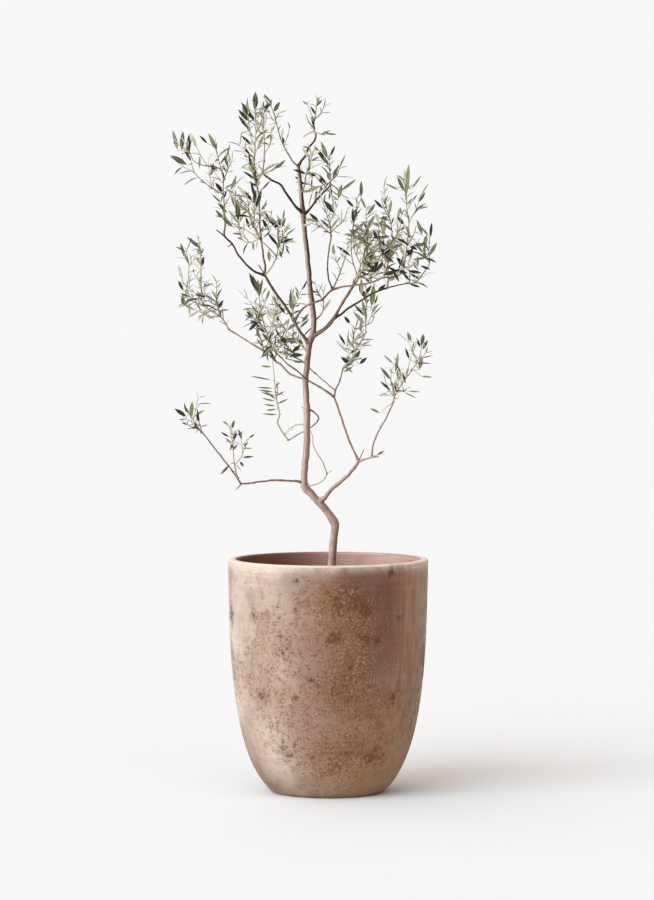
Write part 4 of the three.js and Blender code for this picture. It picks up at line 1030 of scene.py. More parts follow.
def kinks(points):
    """Small turns to and fro along a limb, as real wood grows from bud to bud."""
    shifts = [Vector(point + KINK_APART * axis) * MM for axis in range(3) for point in points]
    turns = [layered_noise(shift, KINK_SIZE, layers=2) for shift in shifts]
    return np.array(turns).reshape(3, -1).T


def limb_run(route, radii_of):
    points = route.spaced(BARK_STEP)
    share = np.linspace(0, 1, len(points))
    points = points + KINK * np.sin(math.pi * share)[:, None] ** 0.5 * kinks(points)
    radii = radii_of(points, share) + scars(route, share, limb_draw)
    radii[-1] *= END_ROUND
    return points, radii


trunk_run = limb_run(routes["trunk"], trunk_radii)
keep = trunk_run[0][:, 2] > SOIL_LEVEL - TRUNK_SUNK
trunk_mesh = tubes("trunk_bark", [(trunk_run[0][keep], trunk_run[1][keep])], 7)
add_relief(trunk_mesh, 0.55, 9, 4.0, 0.18)
trunk = add_piece("trunk_bark", trunk_mesh, ["trunk"])

limb_radius = {"trunk": trunk_run}
bough_runs = []
for name, carrier, foot, tip, points in BOUGHS:
    carrier_points, carrier_radii = limb_radius[carrier]
    start = routes[name].points[0]
    nearest = np.argmin(np.linalg.norm(carrier_points - start, axis=1))
    around = carrier_radii[nearest]

    def radii_of(points, share):
        return bough_radii(routes[name], share, foot, tip, around)

    limb_radius[name] = limb_run(routes[name], radii_of)
    bough_runs.append(limb_radius[name])

# %% [markdown]
# Some boughs carry short stubs, where a twig has broken off. They are small tubes of their
# own, whose feet lie inside the bough.

# %% Stubs and boughs
# foot and tip of each stub, and its radius
STUBS = [
    ((-114, -48, 1229), (-126, -50, 1236), 1.3), ((-141, 56, 1206), (-146, 60, 1250), 0.9),
    ((-174, -48, 623), (-184, -46, 611), 1.5), ((-205, -102, 1117), (-221, -104, 1129), 1.3),
    ((-127, -36, 1042), (-139, -30, 1060), 1.3), ((61, -38, 667), (72, -34, 692), 1.2),
    ((-50, -1, 1160), (-47, -12, 1170), 1.5), ((-57, 1, 1230), (-66, -2, 1236), 1.6),
    ((-39, 6, 1294), (-50, 9, 1297), 1.4), ((-190, -90, 1101), (-199, -84, 1095), 1.2),
    ((86, -64, 677), (101, -68, 678), 1.1), ((-43, 0, 768), (-53, 2, 775), 1.5),
]
STUB_TAPER = np.array([1.5, 1.1, 1.0, 1.0, 0.6])
stub_runs = [(np.linspace(foot, tip, len(STUB_TAPER)), radius * STUB_TAPER)
             for foot, tip, radius in STUBS]
bough_mesh = tubes("boughs_bark", bough_runs + stub_runs, 4)
add_relief(bough_mesh, 0.26, 6, 3.0, 0.12)
boughs = add_piece("boughs_bark", bough_mesh, [row[0] for row in BOUGHS])

# %% [markdown]
# ## Bark, with painted light and shade
#
# Young olive bark is thin and smooth, with fine cracks along the limb, dark patches and small
# pale pores. Its light and shade are painted in: the left side, nearer the window, is painted
# a pale pinkish beige as if lit, and the right side is painted dark as its shade. The wood is
# young and darkest high up. Low down, where it is old, both sides are paler, so the painted
# shade is lighter there. How much painted light each place gets and how old it is are written
# to the mesh as numbers for the material to read: the first comes from the way the surface
# faces, the second from its height. The cracks are noise stretched along the upright, since
# most limbs go up. All of it is matt.

# %% Bark finish
# the bark's painted light and shade: the side that faces this way is painted pale as if lit, the
# other side dark as if in shade
WINDOW_SIDE = np.array([-1.0, -0.05, 0.1])
PAINTED_LIGHT_MIDDLE, PAINTED_LIGHT_SPREAD = 0.5, 0.7
OLD_BARK_LOW, OLD_BARK_HIGH = 0.62, 1.05
OLD_SHARE = 0.6


def write_painted_light_and_age(mesh):
    """How much painted light each place of the bark gets, and how old it is, both from 0 to 1."""
    normals = np.array([vertex.normal for vertex in mesh.vertices])
    heights = np.array([vertex.co.z for vertex in mesh.vertices])
    painted_light_side = PAINTED_LIGHT_MIDDLE + PAINTED_LIGHT_SPREAD * normals @ WINDOW_SIDE
    write_numbers(mesh, "painted_light_side", np.clip(painted_light_side, 0, 1))
    young = np.clip((heights - OLD_BARK_LOW) / (OLD_BARK_HIGH - OLD_BARK_LOW), 0, 1)
    write_numbers(mesh, "old", 1 - young)


def bark(name, pale, warm, dark, shade, shade_old, pale_old):
    """Bark with painted light and shade: its window side runs from warm to pale, and its other side
    has the painted shade colours.
    """
    finish = Finish(name, 0.82, 0.25)
    broad = finish.noise(34, stretch=(1, 1, 2.5))
    cracks = finish.noise(3.2, stretch=(1, 1, 5), detail=5, rough=0.65)
    pores = finish.noise(1.6, detail=1)
    patchy = finish.noise(12, stretch=(1, 1, 2.2), detail=5, rough=0.6)
    colour = finish.blend(finish.step(broad, 0.35, 0.65), paint(warm), paint(pale))
    by_age = finish.math("MULTIPLY", finish.attribute("old"), OLD_SHARE)
    colour = finish.blend(by_age, colour, paint(pale_old))
    # painted shade on the side away from the window, and painted light on the side that faces it
    shaded = finish.blend(finish.attribute("old"), paint(shade), paint(shade_old))
    crack_shift = finish.step(cracks, 0.3, 0.7, -0.15, 0.15)
    uneven = finish.math("ADD", finish.attribute("painted_light_side"), crack_shift)
    colour = finish.blend(finish.step(uneven, 0.2, 0.95), shaded, colour)
    colour = finish.blend(finish.step(patchy, 0.5, 0.68, 0, 0.3), colour, paint(dark))
    colour = finish.blend(finish.step(cracks, 0.5, 0.68, 0, 0.6), colour, paint(dark))
    colour = finish.blend(finish.step(pores, 0.64, 0.72, 0, 0.35), colour, paint(pale))
    normal = finish.bump(pores, 0.12, finish.bump(cracks, 0.5))
    return finish.done(colour, finish.step(cracks, 0.3, 0.7, 0.7, 0.92), normal)


# painted light and shade, and age, written to the limbs; colours: pale, warm, dark, painted shade
# high up, painted shade low down, pale low down
write_painted_light_and_age(trunk_mesh)
write_painted_light_and_age(bough_mesh)
trunk_mesh.materials.append(
    bark("trunk_bark", "cfb9ab", "a38877", "4a3427", "35241a", "94796b", "cbb6aa"))
bough_mesh.materials.append(
    bark("bough_bark", "9a7e6d", "654b3c", "2a1c14", "2a1c14", "83695d", "d6beb3"))

# %% [markdown]
# ## Leaves that stand out
#
# Some leaves can be told apart in the photograph, and they give the crown its outline and its
# dark accents. They are placed one by one, and the others grow round them. Each row is a
# leaf's root (x, y, z), its tip (x, z), its width and its colour: d for dark, g for green,
# p for pale grey or f for fresh green. Where the root is away from the mass's shoots, a
# short twig carries it.

# %% Single leaves
CHOSEN_LEAVES = {
    "back-left": [
        (-57, 40, 899, -73, 883, 7, "d"), (-53, 50, 913, -30, 937, 3, "g"),
        (-59, 55, 911, -51, 903, 4, "d"), (-63, 70, 925, -75, 917, 4, "g"),
        (-50, 2, 864, -70, 866, 3, "g"), (-65, 57, 907, -77, 901, 5, "d"),
        (-129, 157, 986, -119, 1009, 6, "f"), (-100, 115, 944, -108, 964, 5, "d"),
    ],
    "behind-trunk": [
        (-70, 64, 885, -57, 895, 7, "d"),
    ],
    "fork": [
        (-58, -12, 933, -38, 951, 5, "g"), (-56, -18, 955, -38, 951, 3, "g"),
        (-84, -28, 961, -100, 981, 5, "d"), (-76, -45, 986, -72, 1012, 6, "g"),
        (-54, -12, 943, -38, 963, 6, "p"),
    ],
    "front-left": [
        (-146, -142, 956, -160, 968, 7, "d"), (-139, -131, 948, -156, 930, 7, "d"),
        (-138, -140, 999, -138, 1031, 9, "p"), (-137, -141, 1004, -155, 1044, 9, "d"),
        (-129, -114, 934, -145, 967, 5, "f"), (-111, -94, 898, -128, 881, 6, "p"),
        (-111, -94, 905, -131, 925, 7, "g"), (-111, -93, 901, -131, 877, 10, "d"),
        (-81, -117, 902, -93, 920, 8, "d"), (-77, -112, 881, -49, 882, 8, "d"),
    ],
    "left-centre": [
        (-117, -17, 1130, -131, 1152, 4, "d"), (-113, -18, 1130, -129, 1114, 3, "d"),
        (-136, 54, 1170, -122, 1185, 4, "g"),
        (-181, 49, 1145, -183, 1193, 10, "g"), (-157, 8, 1132, -165, 1156, 6, "d"),
        (-151, -2, 1186, -167, 1208, 6, "d"), (-150, 66, 1181, -146, 1211, 8, "g"),
        (-146, 54, 1170, -134, 1211, 8, "d"), (-128, -40, 1166, -104, 1132, 5, "d"),
        (-119, -14, 1128, -131, 1152, 7, "d"),
    ],
    "left-far": [
        (-294, 108, 977, -296, 1001, 8, "g"), (-294, 120, 1007, -305, 1028, 6, "d"),
        (-291, 141, 1073, -301, 1105, 6, "g"), (-259, 105, 1093, -286, 1117, 7, "g"),
        (-255, 100, 1057, -253, 1077, 6, "d"), (-231, 47, 976, -253, 980, 4, "d"),
        (-222, 50, 974, -211, 989, 6, "d"),
    ],
    "left-high": [
        (-294, -162, 1282, -304, 1323, 8, "p"), (-287, -161, 1282, -284, 1321, 9, "g"),
        (-275, -159, 1269, -272, 1316, 9, "d"), (-275, -149, 1255, -309, 1274, 10, "g"),
        (-253, -152, 1249, -251, 1274, 4, "p"), (-236, -147, 1297, -252, 1313, 5, "d"),
        (-216, -138, 1243, -234, 1255, 4, "d"), (-214, -139, 1250, -234, 1253, 5, "d"),
        (-210, -117, 1154, -187, 1134, 7, "g"), (-208, -130, 1201, -222, 1221, 6, "d"),
        (-206, -130, 1202, -221, 1221, 6, "d"), (-206, -115, 1150, -222, 1168, 6, "g"),
        (-198, -119, 1162, -218, 1182, 5, "d"), (-197, -112, 1251, -204, 1275, 6, "g"),
        (-192, -130, 1205, -180, 1235, 6, "p"),
    ],
    "left-inner": [
        (-102, -88, 1128, -110, 1154, 5, "d"), (-98, -89, 1132, -112, 1148, 5, "d"),
        (-94, -89, 1134, -98, 1152, 5, "d"), (-92, -89, 1132, -84, 1154, 5, "g"),
        (-90, -92, 1146, -86, 1170, 4, "p"), (-108, -91, 1138, -127, 1168, 3, "d"),
        (-98, -83, 1106, -78, 1118, 4, "d"), (-96, -95, 1102, -68, 1112, 6, "d"),
        (-87, -114, 1116, -64, 1132, 3, "g"), (-90, -87, 1126, -74, 1140, 3, "p"),
        (-118, -79, 1090, -116, 1066, 7, "p"), (-96, -79, 1090, -92, 1074, 6, "g"),
    ],
    "left-low-tip": [
        (-280, -94, 759, -304, 775, 8, "d"), (-269, -94, 791, -272, 756, 8, "f"),
    ],
    "left-top": [
        (-161, 102, 1350, -182, 1375, 7, "d"), (-159, 97, 1333, -182, 1363, 7, "d"),
        (-157, 95, 1283, -173, 1299, 5, "d"), (-155, 83, 1303, -175, 1321, 6, "d"),
        (-147, 87, 1372, -147, 1410, 11, "g"), (-146, 55, 1191, -156, 1229, 6, "d"),
        (-146, 85, 1348, -176, 1389, 9, "d"), (-142, 61, 1217, -150, 1252, 6, "g"),
    ],
    "loop": [
        (-114, 99, 853, -137, 855, 4, "p"), (-112, 91, 826, -159, 835, 3, "g"),
        (-110, 102, 802, -141, 806, 4, "p"), (-110, 115, 809, -145, 811, 3, "g"),
        (-108, 91, 794, -136, 802, 4, "p"), (-108, 120, 813, -98, 821, 3, "g"),
        (-106, 76, 784, -134, 790, 4, "p"), (-106, 93, 794, -88, 804, 3, "g"),
        (-104, 69, 768, -126, 766, 4, "p"), (-104, 72, 774, -130, 778, 3, "g"),
        (-104, 74, 778, -81, 789, 4, "p"), (-101, 63, 757, -134, 759, 3, "g"),
    ],
    "right-core": [
        (82, -47, 1124, 72, 1142, 6, "d"), (70, -46, 1108, 58, 1118, 4, "d"),
        (74, -43, 1076, 86, 1086, 4, "d"), (90, -22, 1064, 72, 1066, 6, "d"),
        (103, -12, 1048, 86, 1058, 5, "d"),
        (50, -46, 1146, 56, 1172, 9, "d"), (52, -48, 1174, 36, 1190, 6, "d"),
        (66, -51, 1192, 66, 1227, 7, "g"), (84, -20, 1038, 60, 1048, 4, "d"),
        (94, -12, 1052, 100, 1070, 7, "d"), (103, -12, 1048, 70, 1066, 7, "d"),
    ],
    "right-front": [
        (168, -45, 1098, 198, 1102, 7, "g"), (162, -47, 1098, 178, 1090, 6, "d"),
        (168, -51, 1086, 154, 1086, 7, "d"), (162, -52, 1076, 170, 1088, 4, "g"),
        (162, -46, 1118, 156, 1138, 6, "p"), (152, -57, 1060, 136, 1074, 8, "d"),
        (129, -80, 1047, 141, 1027, 6, "d"), (131, -86, 1051, 158, 1043, 7, "d"),
        (139, -92, 1048, 109, 1040, 8, "d"), (139, -89, 1046, 117, 1056, 5, "d"),
        (142, -37, 1208, 114, 1222, 4, "p"), (145, -95, 1048, 163, 1027, 5, "d"),
        (152, -37, 1206, 138, 1236, 7, "g"), (154, -59, 1054, 138, 1072, 9, "d"),
        (154, -38, 1190, 162, 1256, 8, "p"), (164, -38, 1182, 178, 1200, 3, "d"),
        (166, -37, 1210, 186, 1238, 4, "p"), (189, -30, 1118, 177, 1150, 7, "p"),
    ],
    "right-inner": [
        (15, -89, 1160, -8, 1187, 10, "d"),
    ],
    "right-low": [
        (103, -120, 767, 83, 777, 5, "p"), (117, -115, 807, 101, 801, 4, "p"),
        (125, -147, 832, 103, 859, 6, "g"), (125, -116, 811, 103, 830, 5, "d"),
        (130, -159, 864, 109, 883, 4, "p"), (131, -131, 811, 154, 811, 4, "d"),
        (132, -158, 846, 138, 887, 6, "p"), (147, -117, 848, 153, 826, 5, "d"),
        (148, -148, 810, 174, 798, 3, "p"), (154, -154, 812, 182, 810, 3, "p"),
        (161, -111, 872, 153, 896, 5, "d"), (165, -105, 907, 157, 927, 7, "p"),
        (180, -112, 854, 185, 882, 6, "p"), (181, -112, 852, 185, 880, 9, "p"),
        (183, -114, 840, 206, 838, 4, "p"), (183, -106, 896, 175, 915, 5, "d"),
        (185, -105, 900, 189, 923, 8, "g"), (187, -106, 892, 197, 911, 6, "d"),
    ],
    "right-mid": [
        (75, 78, 1000, 87, 1018, 7, "d"), (79, 69, 945, 69, 990, 7, "p"),
        (87, 81, 955, 110, 977, 3, "p"),
        (36, 54, 897, 22, 921, 5, "d"), (45, 69, 941, 33, 956, 7, "d"),
        (46, 25, 859, 26, 875, 8, "d"), (50, 25, 855, 32, 845, 6, "p"),
        (51, 30, 865, 65, 889, 8, "d"), (62, -24, 861, 78, 875, 7, "d"),
        (73, 78, 994, 63, 1019, 8, "d"), (76, 71, 955, 52, 981, 5, "d"),
        (88, 76, 973, 93, 1021, 11, "f"),
    ],
    "right-middle": [
        (97, -156, 1108, 89, 1128, 7, "d"), (109, -143, 1094, 107, 1077, 5, "d"),
        (121, -102, 1086, 111, 1070, 5, "g"), (109, -108, 1066, 97, 1049, 8, "d"),
        (123, -107, 1116, 105, 1116, 4, "g"), (129, -109, 1126, 113, 1138, 4, "g"),
        (119, -111, 1146, 107, 1156, 5, "g"),
        (103, -91, 1051, 77, 1047, 8, "d"), (109, -114, 1170, 91, 1188, 6, "d"),
        (150, -146, 1138, 136, 1154, 7, "d"),
    ],
    "right-outer": [
        (99, 48, 1006, 117, 1021, 7, "d"), (161, 102, 1048, 190, 1044, 7, "d"),
        (165, 96, 1044, 187, 1030, 5, "d"), (186, 71, 1059, 207, 1051, 5, "d"),
        (199, 59, 1075, 219, 1065, 4, "d"), (205, 77, 1079, 220, 1105, 8, "p"),
        (205, 82, 1118, 187, 1138, 5, "p"), (207, 81, 1114, 210, 1146, 6, "d"),
    ],
    "right-upper": [
        (-2, 54, 1221, -18, 1241, 5, "d"), (0, 63, 1272, -14, 1309, 8, "p"),
        (3, 59, 1259, -26, 1298, 8, "d"), (4, 63, 1278, 14, 1300, 5, "d"),
        (8, 56, 1231, 22, 1262, 6, "g"), (20, 12, 1190, 28, 1222, 8, "f"),
        (24, 72, 1208, 57, 1233, 6, "f"),
    ],
    "top": [
        (-28, 10, 1336, -32, 1356, 6, "d"), (-24, 12, 1360, -34, 1374, 4, "d"),
        (-20, 14, 1380, -20, 1396, 6, "p"), (5, -9, 1328, -15, 1320, 5, "p"),
    ],
    "top-left": [
        (-112, -36, 1372, -127, 1399, 9, "g"), (-109, -34, 1363, -96, 1384, 8, "g"),
    ],
    "left-low": [
        (-191, -111, 735, -185, 753, 6, "g"), (-197, -111, 743, -208, 751, 4, "p"),
        (-195, -110, 719, -212, 729, 4, "d"), (-187, -108, 713, -181, 729, 5, "d"),
        (-177, -111, 735, -171, 715, 6, "d"), (-156, -132, 718, -145, 726, 4, "g"),
        (-166, -132, 702, -158, 710, 4, "g"), (-172, -128, 698, -149, 698, 3, "p"),
        (-171, -114, 679, -147, 681, 4, "d"), (-175, -104, 671, -167, 661, 5, "d"),
        (-195, -91, 664, -213, 644, 5, "g"), (-195, -102, 693, -187, 707, 4, "g"),
        (-189, -102, 693, -179, 705, 4, "g"), (-183, -103, 695, -195, 705, 3, "d"),
    ],
    "left-upper": [
        (-114, -57, 1228, -132, 1208, 4, "g"),
    ],
    "right-back": [
        (143, 134, 1103, 127, 1124, 4, "d"),
    ],
}
print("leaves placed one by one:", sum(len(rows) for rows in CHOSEN_LEAVES.values()))

# %% [markdown]
# ## Growing the foliage
#
# The plain model grew each mass by a rule, and the same rule is written again here with
# finer numbers. Twigs leave a stem or shoot at 48 degrees, each turned by the golden angle
# from the last. Leaves sit in opposite pairs, and each pair is turned a quarter from the
# one before, as on a real olive. Every mass has its own space: within 62 mm of its stem and
# shoots, nearer to them than to any other mass's, clear of the limbs and inside the plain
# model's box. A twig or leaf of the rule that would leave that space isn't grown, so gaps
# between the masses stay open. A few places inside the crown stay open too, where the
# photograph shows the sky, and a few twigs are added one by one where it is fullest.

# %% Repeatable random numbers and turned directions
REACH = 62
SPACE_MARGIN = 1.2
LIMB_CLEARANCE = 0.8
TWIG_EVERY = 46
TWIG_LENGTH = 40
TWIG_LENGTH_SPREAD = 0.4
TWIG_ANGLE = 48
TWIG_RISE = 0.22
TWIG_TURN = 137.5
TWIG_FREE_END = 12.6
PAIR_EVERY = 10.0
PAIR_JITTER = 0.25
LEAF_ANGLE = 46
LEAF_ANGLE_SPREAD = 18
LEAF_SMALLEST, LEAF_LARGEST = 0.4, 1.4
LEAF_SIZE_SKEW = 2.1
LEAF_ROLL_SPREAD = 75
LEAF_DROOP = 0.18
LEAF_NARROW, LEAF_BROADER = 0.125, 0.055
LEAF_WIDTH_SPREAD = 0.2
LEAF_APART = 1.4
TIP_LEAVES = [(0, 24), (180, 24), (90, 6)]
TWIG_TIP_RISE = 0.12
TURN_SPREAD = 15
NEARLY_UPRIGHT, NEARLY_ALONG = 0.2, 0.1
UP = np.array([0.0, 0.0, 1.0])
AWAY = np.array([0.0, 1.0, 0.0])


def seeded(seed):
    state = seed

    def draw():
        nonlocal state
        state = (state * 1664525 + 1013904223) % 2 ** 32
        return state / 2 ** 32

    return draw


def either_way(draw, spread):
    return spread * (2 * draw() - 1)


def unit(vector):
    return vector / np.linalg.norm(vector)


def turned(vector, axis, degrees):
    angle = math.radians(degrees)
    return (vector * math.cos(angle) + np.cross(axis, vector) * math.sin(angle)
            + axis * np.dot(axis, vector) * (1 - math.cos(angle)))


def sideways(tangent, degrees):
    level = np.cross(tangent, UP)
    if np.linalg.norm(level) < NEARLY_UPRIGHT:
        level = np.cross(tangent, AWAY)
    return turned(unit(level), tangent, degrees)


def leaning(tangent, side, degrees):
    angle = math.radians(degrees)
    return tangent * math.cos(angle) + side * math.sin(angle)


print("leaf pairs about every", PAIR_EVERY, "mm, twigs every", TWIG_EVERY, "mm")

# %% [markdown]
# The test for a mass's own space needs many distances at once. All stems and shoots are
# kept as rows of sample points, and numpy compares a handful of leaf points with all of
# them in one step.

# %% The space of each mass
SAMPLE_STEP = 5


def lay_out_masses():
    masses = []
    for name, carrier, leaf, bare, colours, stem, shoots in MASSES:
        stem_route = route_from(routes[carrier], stem)
        shoot_routes = [route_from(stem_route, shoot) for shoot in shoots]
        bare_routes = [route_from(stem_route, shoot) for shoot in BARE_SHOOTS.get(name, [])]
        lines = [stem_route, *shoot_routes, *bare_routes]
        masses.append({
            "name": name, "short_name": name.replace("leaves-", ""), "leaf": leaf,
            "bare": bare, "colours": colours,
            "stem": stem_route, "shoots": shoot_routes, "bare_shoots": bare_routes,
            "samples": np.vstack([line.spaced(SAMPLE_STEP) for line in lines]),
        })
    return masses


def space_test(mass, masses):
    rivals = np.vstack([other["samples"] for other in masses if other is not mass])
    limb_points = np.vstack([points for points, radii in limb_radius.values()])
    limb_radii = np.concatenate([radii for points, radii in limb_radius.values()])
    low = np.array(cad_low) / MM
    high = np.array(cad_high) / MM

    def inside(points, room):
        own = np.linalg.norm(points[:, None] - mass["samples"][None], axis=2).min(1)
        other = np.linalg.norm(points[:, None] - rivals[None], axis=2).min(1)
        bark_gap = np.linalg.norm(points[:, None] - limb_points[None], axis=2) - limb_radii
        free = (own <= REACH) & (other >= own + SPACE_MARGIN)
        free &= bark_gap.min(1) > room + LIMB_CLEARANCE
        return bool((free & (points > low).all(1) & (points < high).all(1)).all())

    return inside


masses = lay_out_masses()
print("length of stems and shoots in mm:",
      round(sum(r.length for m in masses for r in (m["stem"], *m["shoots"]))))

# %% [markdown]
# A leaf is kept as a few numbers: its root, the way it points, the way its upper face
# looks, its length and width, how much it bends and folds, and its colour. The mesh comes
# later. Colours are dealt out leaf by leaf, from shares that depend on the mass. The tables
# below say how thick each mass is, which twigs are added and where the sky shows.

# %% How the masses differ
COLOUR_LETTERS = "dgpf"
# shares of the four colours, in the order of their letters
COLOUR_SHARES = {
    "dark": (0.64, 0.24, 0.06, 0.06),
    "mixed": (0.44, 0.29, 0.22, 0.05),
    "pale": (0.27, 0.28, 0.36, 0.09),
}
# how much more room some masses have between their leaves than the others
SPARSER = {
    "left-top": 1.35, "left-upper": 1.6, "top-left": 1.5, "left-high": 1.75, "loop": 1.8,
    "left-centre": 1.2, "right-low": 2.6, "left-low-tip": 1.5, "left-low": 1.4,
    "right-front": 1.3, "right-outer": 1.25, "right-mid": 1.15, "top": 1.8, "left-far": 1.0,
    "front-left": 1.25, "right-upper": 1.15, "beside-trunk": 1.3, "mid-left": 0.9,
    "right-core": 0.78, "right-middle": 0.75, "behind-trunk": 0.85, "right-inner": 0.85,
    "inner-low": 0.9,
}
# twigs placed one by one where the crown is fullest: foot and tip, by mass
MORE_TWIGS = {
    "back-left": [
        ((-69, 66, 913), (-73, 58, 943)), ((-60, 49, 904), (-73, 41, 936)),
        ((-43, 12, 886), (-61, 20, 916)),
    ],
    "fork": [((-70, -21, 955), (-74, -13, 985))],
    "left-centre": [
        ((-148, 43, 1162), (-156, 51, 1199)), ((-148, 66, 1178), (-134, 58, 1215)),
        ((-179, 46, 1132), (-211, 54, 1156)),
    ],
    "left-far": [((-249, 82, 975), (-280, 74, 996)), ((-255, 86, 987), (-289, 78, 1020))],
    "left-high": [((-203, -113, 1145), (-212, -121, 1182))],
    "left-inner": [((-98, -86, 1117), (-84, -94, 1098))],
    "left-low": [
        ((-169, -121, 687), (-172, -129, 722)), ((-188, -105, 701), (-195, -113, 737)),
    ],
    "left-top": [((-142, 60, 1211), (-154, 52, 1247))],
    "right-core": [
        ((84, -22, 1069), (84, -30, 1110)), ((79, -44, 1089), (66, -52, 1130)),
        ((76, -48, 1130), (76, -56, 1170)), ((72, -42, 1060), (92, -60, 1092)),
        ((66, -39, 1045), (84, -62, 1070)), ((80, -45, 1100), (64, -62, 1118)),
        ((75, -42, 1070), (60, -58, 1096)),
    ],
    "right-low": [
        ((153, -118, 835), (165, -110, 880)), ((176, -110, 868), (159, -118, 908)),
    ],
    "right-middle": [
        ((119, -97, 1064), (121, -105, 1110)), ((102, -143, 1092), (99, -151, 1138)),
        ((125, -102, 1086), (137, -110, 1126)), ((115, -115, 1175), (111, -123, 1205)),
    ],
    "right-upper": [((-30, 60, 1210), (-49, 68, 1236)), ((5, 52, 1227), (-24, 44, 1199))],
    "right-front": [((148, -107, 1064), (151, -115, 1098))],
    "right-mid": [((78, 78, 980), (77, 70, 1020))],
}
# places where the sky shows through the crown, from the front: x, height, radius
OPEN_PLACES = np.array([
    (185, 1140, 20), (-260, 1262, 18), (-248, 1290, 12), (125, 1126, 10), (48, 1066, 16),
    (-91, 828, 26), (95, 945, 20), (159, 812, 18), (-123, 1285, 14), (-111, 1174, 14),
    (-126, 944, 8), (-177, 677, 20), (-304, 765, 8), (-70, 850, 14), (-150, 1000, 8),
    (-278, 1058, 9), (46, 1222, 12), (32, 1178, 8), (166, 1040, 8), (190, 1060, 10),
    (150, 1150, 8), (-66, 1180, 20), (86, 1198, 17), (225, 1120, 12), (-48, 1316, 10),
    (-48, 1368, 9), (76, 848, 18), (54, 838, 9),
])
print("twigs placed one by one:", sum(len(rows) for rows in MORE_TWIGS.values()),
      "and places left open:", len(OPEN_PLACES))

# %% [markdown]
# A mass grows in this order: its twigs, the leaves of its stem and shoots, then the leaves
# of each twig, and last the short twigs of the leaves that were placed one by one. A leaf
# of the rule is kept if it stands clear of every leaf before it, in the mass's own space,
# and if it doesn't cover an open place as seen from the camera's side.

# %% Grow twigs and leaves
# where a leaf is tested: shares of its length and of its width
LEAF_TEST_PLACES = [(1, 0), (0.5, 0.5), (0.5, -0.5), (0.75, 0), (0.3, 0)]
OUTER_PLACES = 4
TWIG_SPACE_PLACES, TWIG_SKY_PLACES = np.array([0.6, 1.0]), np.array([0.7, 1.0])
TWIG_ROOM = 1.2
TWIG_PIECES = 6
CHOSEN_TWIG_BEND = 1.5
CHOSEN_TWIG_FROM = 3
CHOSEN_LEAF_LEAN = 5
EYE_DISTANCE, EYE_HEIGHT = 8000, 1134


def pick_colour(draw, shares):
    value = draw()
    for index, share in enumerate(shares):
        value -= share
        if value < 0:
            return index
    return len(shares) - 1


def draw_leaf(draw, root, tangent, side, degrees, mass):
    direction = leaning(tangent, side, degrees + either_way(draw, LEAF_ANGLE_SPREAD))
    size = LEAF_SMALLEST + (LEAF_LARGEST - LEAF_SMALLEST) * draw() ** LEAF_SIZE_SKEW
    length = mass["leaf"] * size
    broadness = LEAF_NARROW + LEAF_BROADER * size
    roll = either_way(draw, LEAF_ROLL_SPREAD)
    direction = unit(direction - LEAF_DROOP * draw() * UP)
    face = tangent - direction * np.dot(tangent, direction)
    face = unit(face) if np.linalg.norm(face) > NEARLY_ALONG else side
    return {
        "root": root, "direction": direction, "face": turned(face, direction, roll),
        "length": length,
        "width": length * broadness * (1 + either_way(draw, LEAF_WIDTH_SPREAD)),
        "bend": 0.25 + either_way(draw, 0.45), "fold": 0.15 + 0.4 * draw(),
        "colour": pick_colour(draw, COLOUR_SHARES[mass["colours"]]), "under": draw() < 0.5,
    }


def draw_leaves(draw, route, mass, bare):
    leaves = []
    every = PAIR_EVERY * SPARSER.get(mass["short_name"], 1)
    turn = 90 * draw()
    distance = bare
    while distance < route.length - every / 2:
        tangent = route.tangent(distance)
        turn += 90 + either_way(draw, TURN_SPREAD)
        for half in (0, 180):
            side = sideways(tangent, turn + half)
            leaves.append(draw_leaf(draw, route.at(distance), tangent, side, LEAF_ANGLE, mass))
        distance += every * (1 + either_way(draw, PAIR_JITTER))
    tangent = route.tangent(route.length)
    root = route.at(route.length) - tangent
    for half, degrees in TIP_LEAVES:
        leaves.append(draw_leaf(draw, root, tangent, sideways(tangent, turn + half), degrees, mass))
    return leaves


def draw_twigs(draw, route, bare):
    twigs = []
    turn = 360 * draw()
    distance = bare + TWIG_EVERY / 2
    while distance < route.length - TWIG_FREE_END:
        tangent = route.tangent(distance)
        turn += TWIG_TURN
        direction = leaning(tangent, sideways(tangent, turn), TWIG_ANGLE)
        reach = TWIG_LENGTH * (1 + either_way(draw, TWIG_LENGTH_SPREAD))
        direction = unit(direction + TWIG_RISE * UP)
        foot = route.at(distance)
        middle = foot + 0.5 * reach * direction
        tip = foot + reach * unit(direction + TWIG_TIP_RISE * UP)
        twigs.append(Route(smooth_points([foot, middle, tip], TWIG_PIECES)))
        distance += TWIG_EVERY
    return twigs


def leaf_points(leaf):
    across = np.cross(leaf["face"], leaf["direction"])
    return np.array([leaf["root"] + leaf["direction"] * leaf["length"] * along
                     + across * leaf["width"] * aside for along, aside in LEAF_TEST_PLACES])


def leaves_with_room(leaves, drawn, inside):
    """Adds those of the drawn leaves that have room, in the order they were drawn."""
    outer_points = [leaf_points(leaf)[:OUTER_PLACES] for leaf in leaves]
    taken = np.vstack([np.zeros((0, 3)), *outer_points])
    for leaf in drawn:
        points = leaf_points(leaf)
        outer = points[:OUTER_PLACES]
        gaps = np.linalg.norm(outer[:, None] - taken[None], axis=2)
        if gaps.size and gaps.min() < LEAF_APART:
            continue
        if inside(points, 0):
            leaves.append(leaf)
            taken = np.vstack([taken, outer])
    return leaves


def bent_twig(foot, tip):
    middle = np.add(foot, tip) / 2 + CHOSEN_TWIG_BEND * UP
    return Route(smooth_points([foot, middle, tip], TWIG_PIECES))


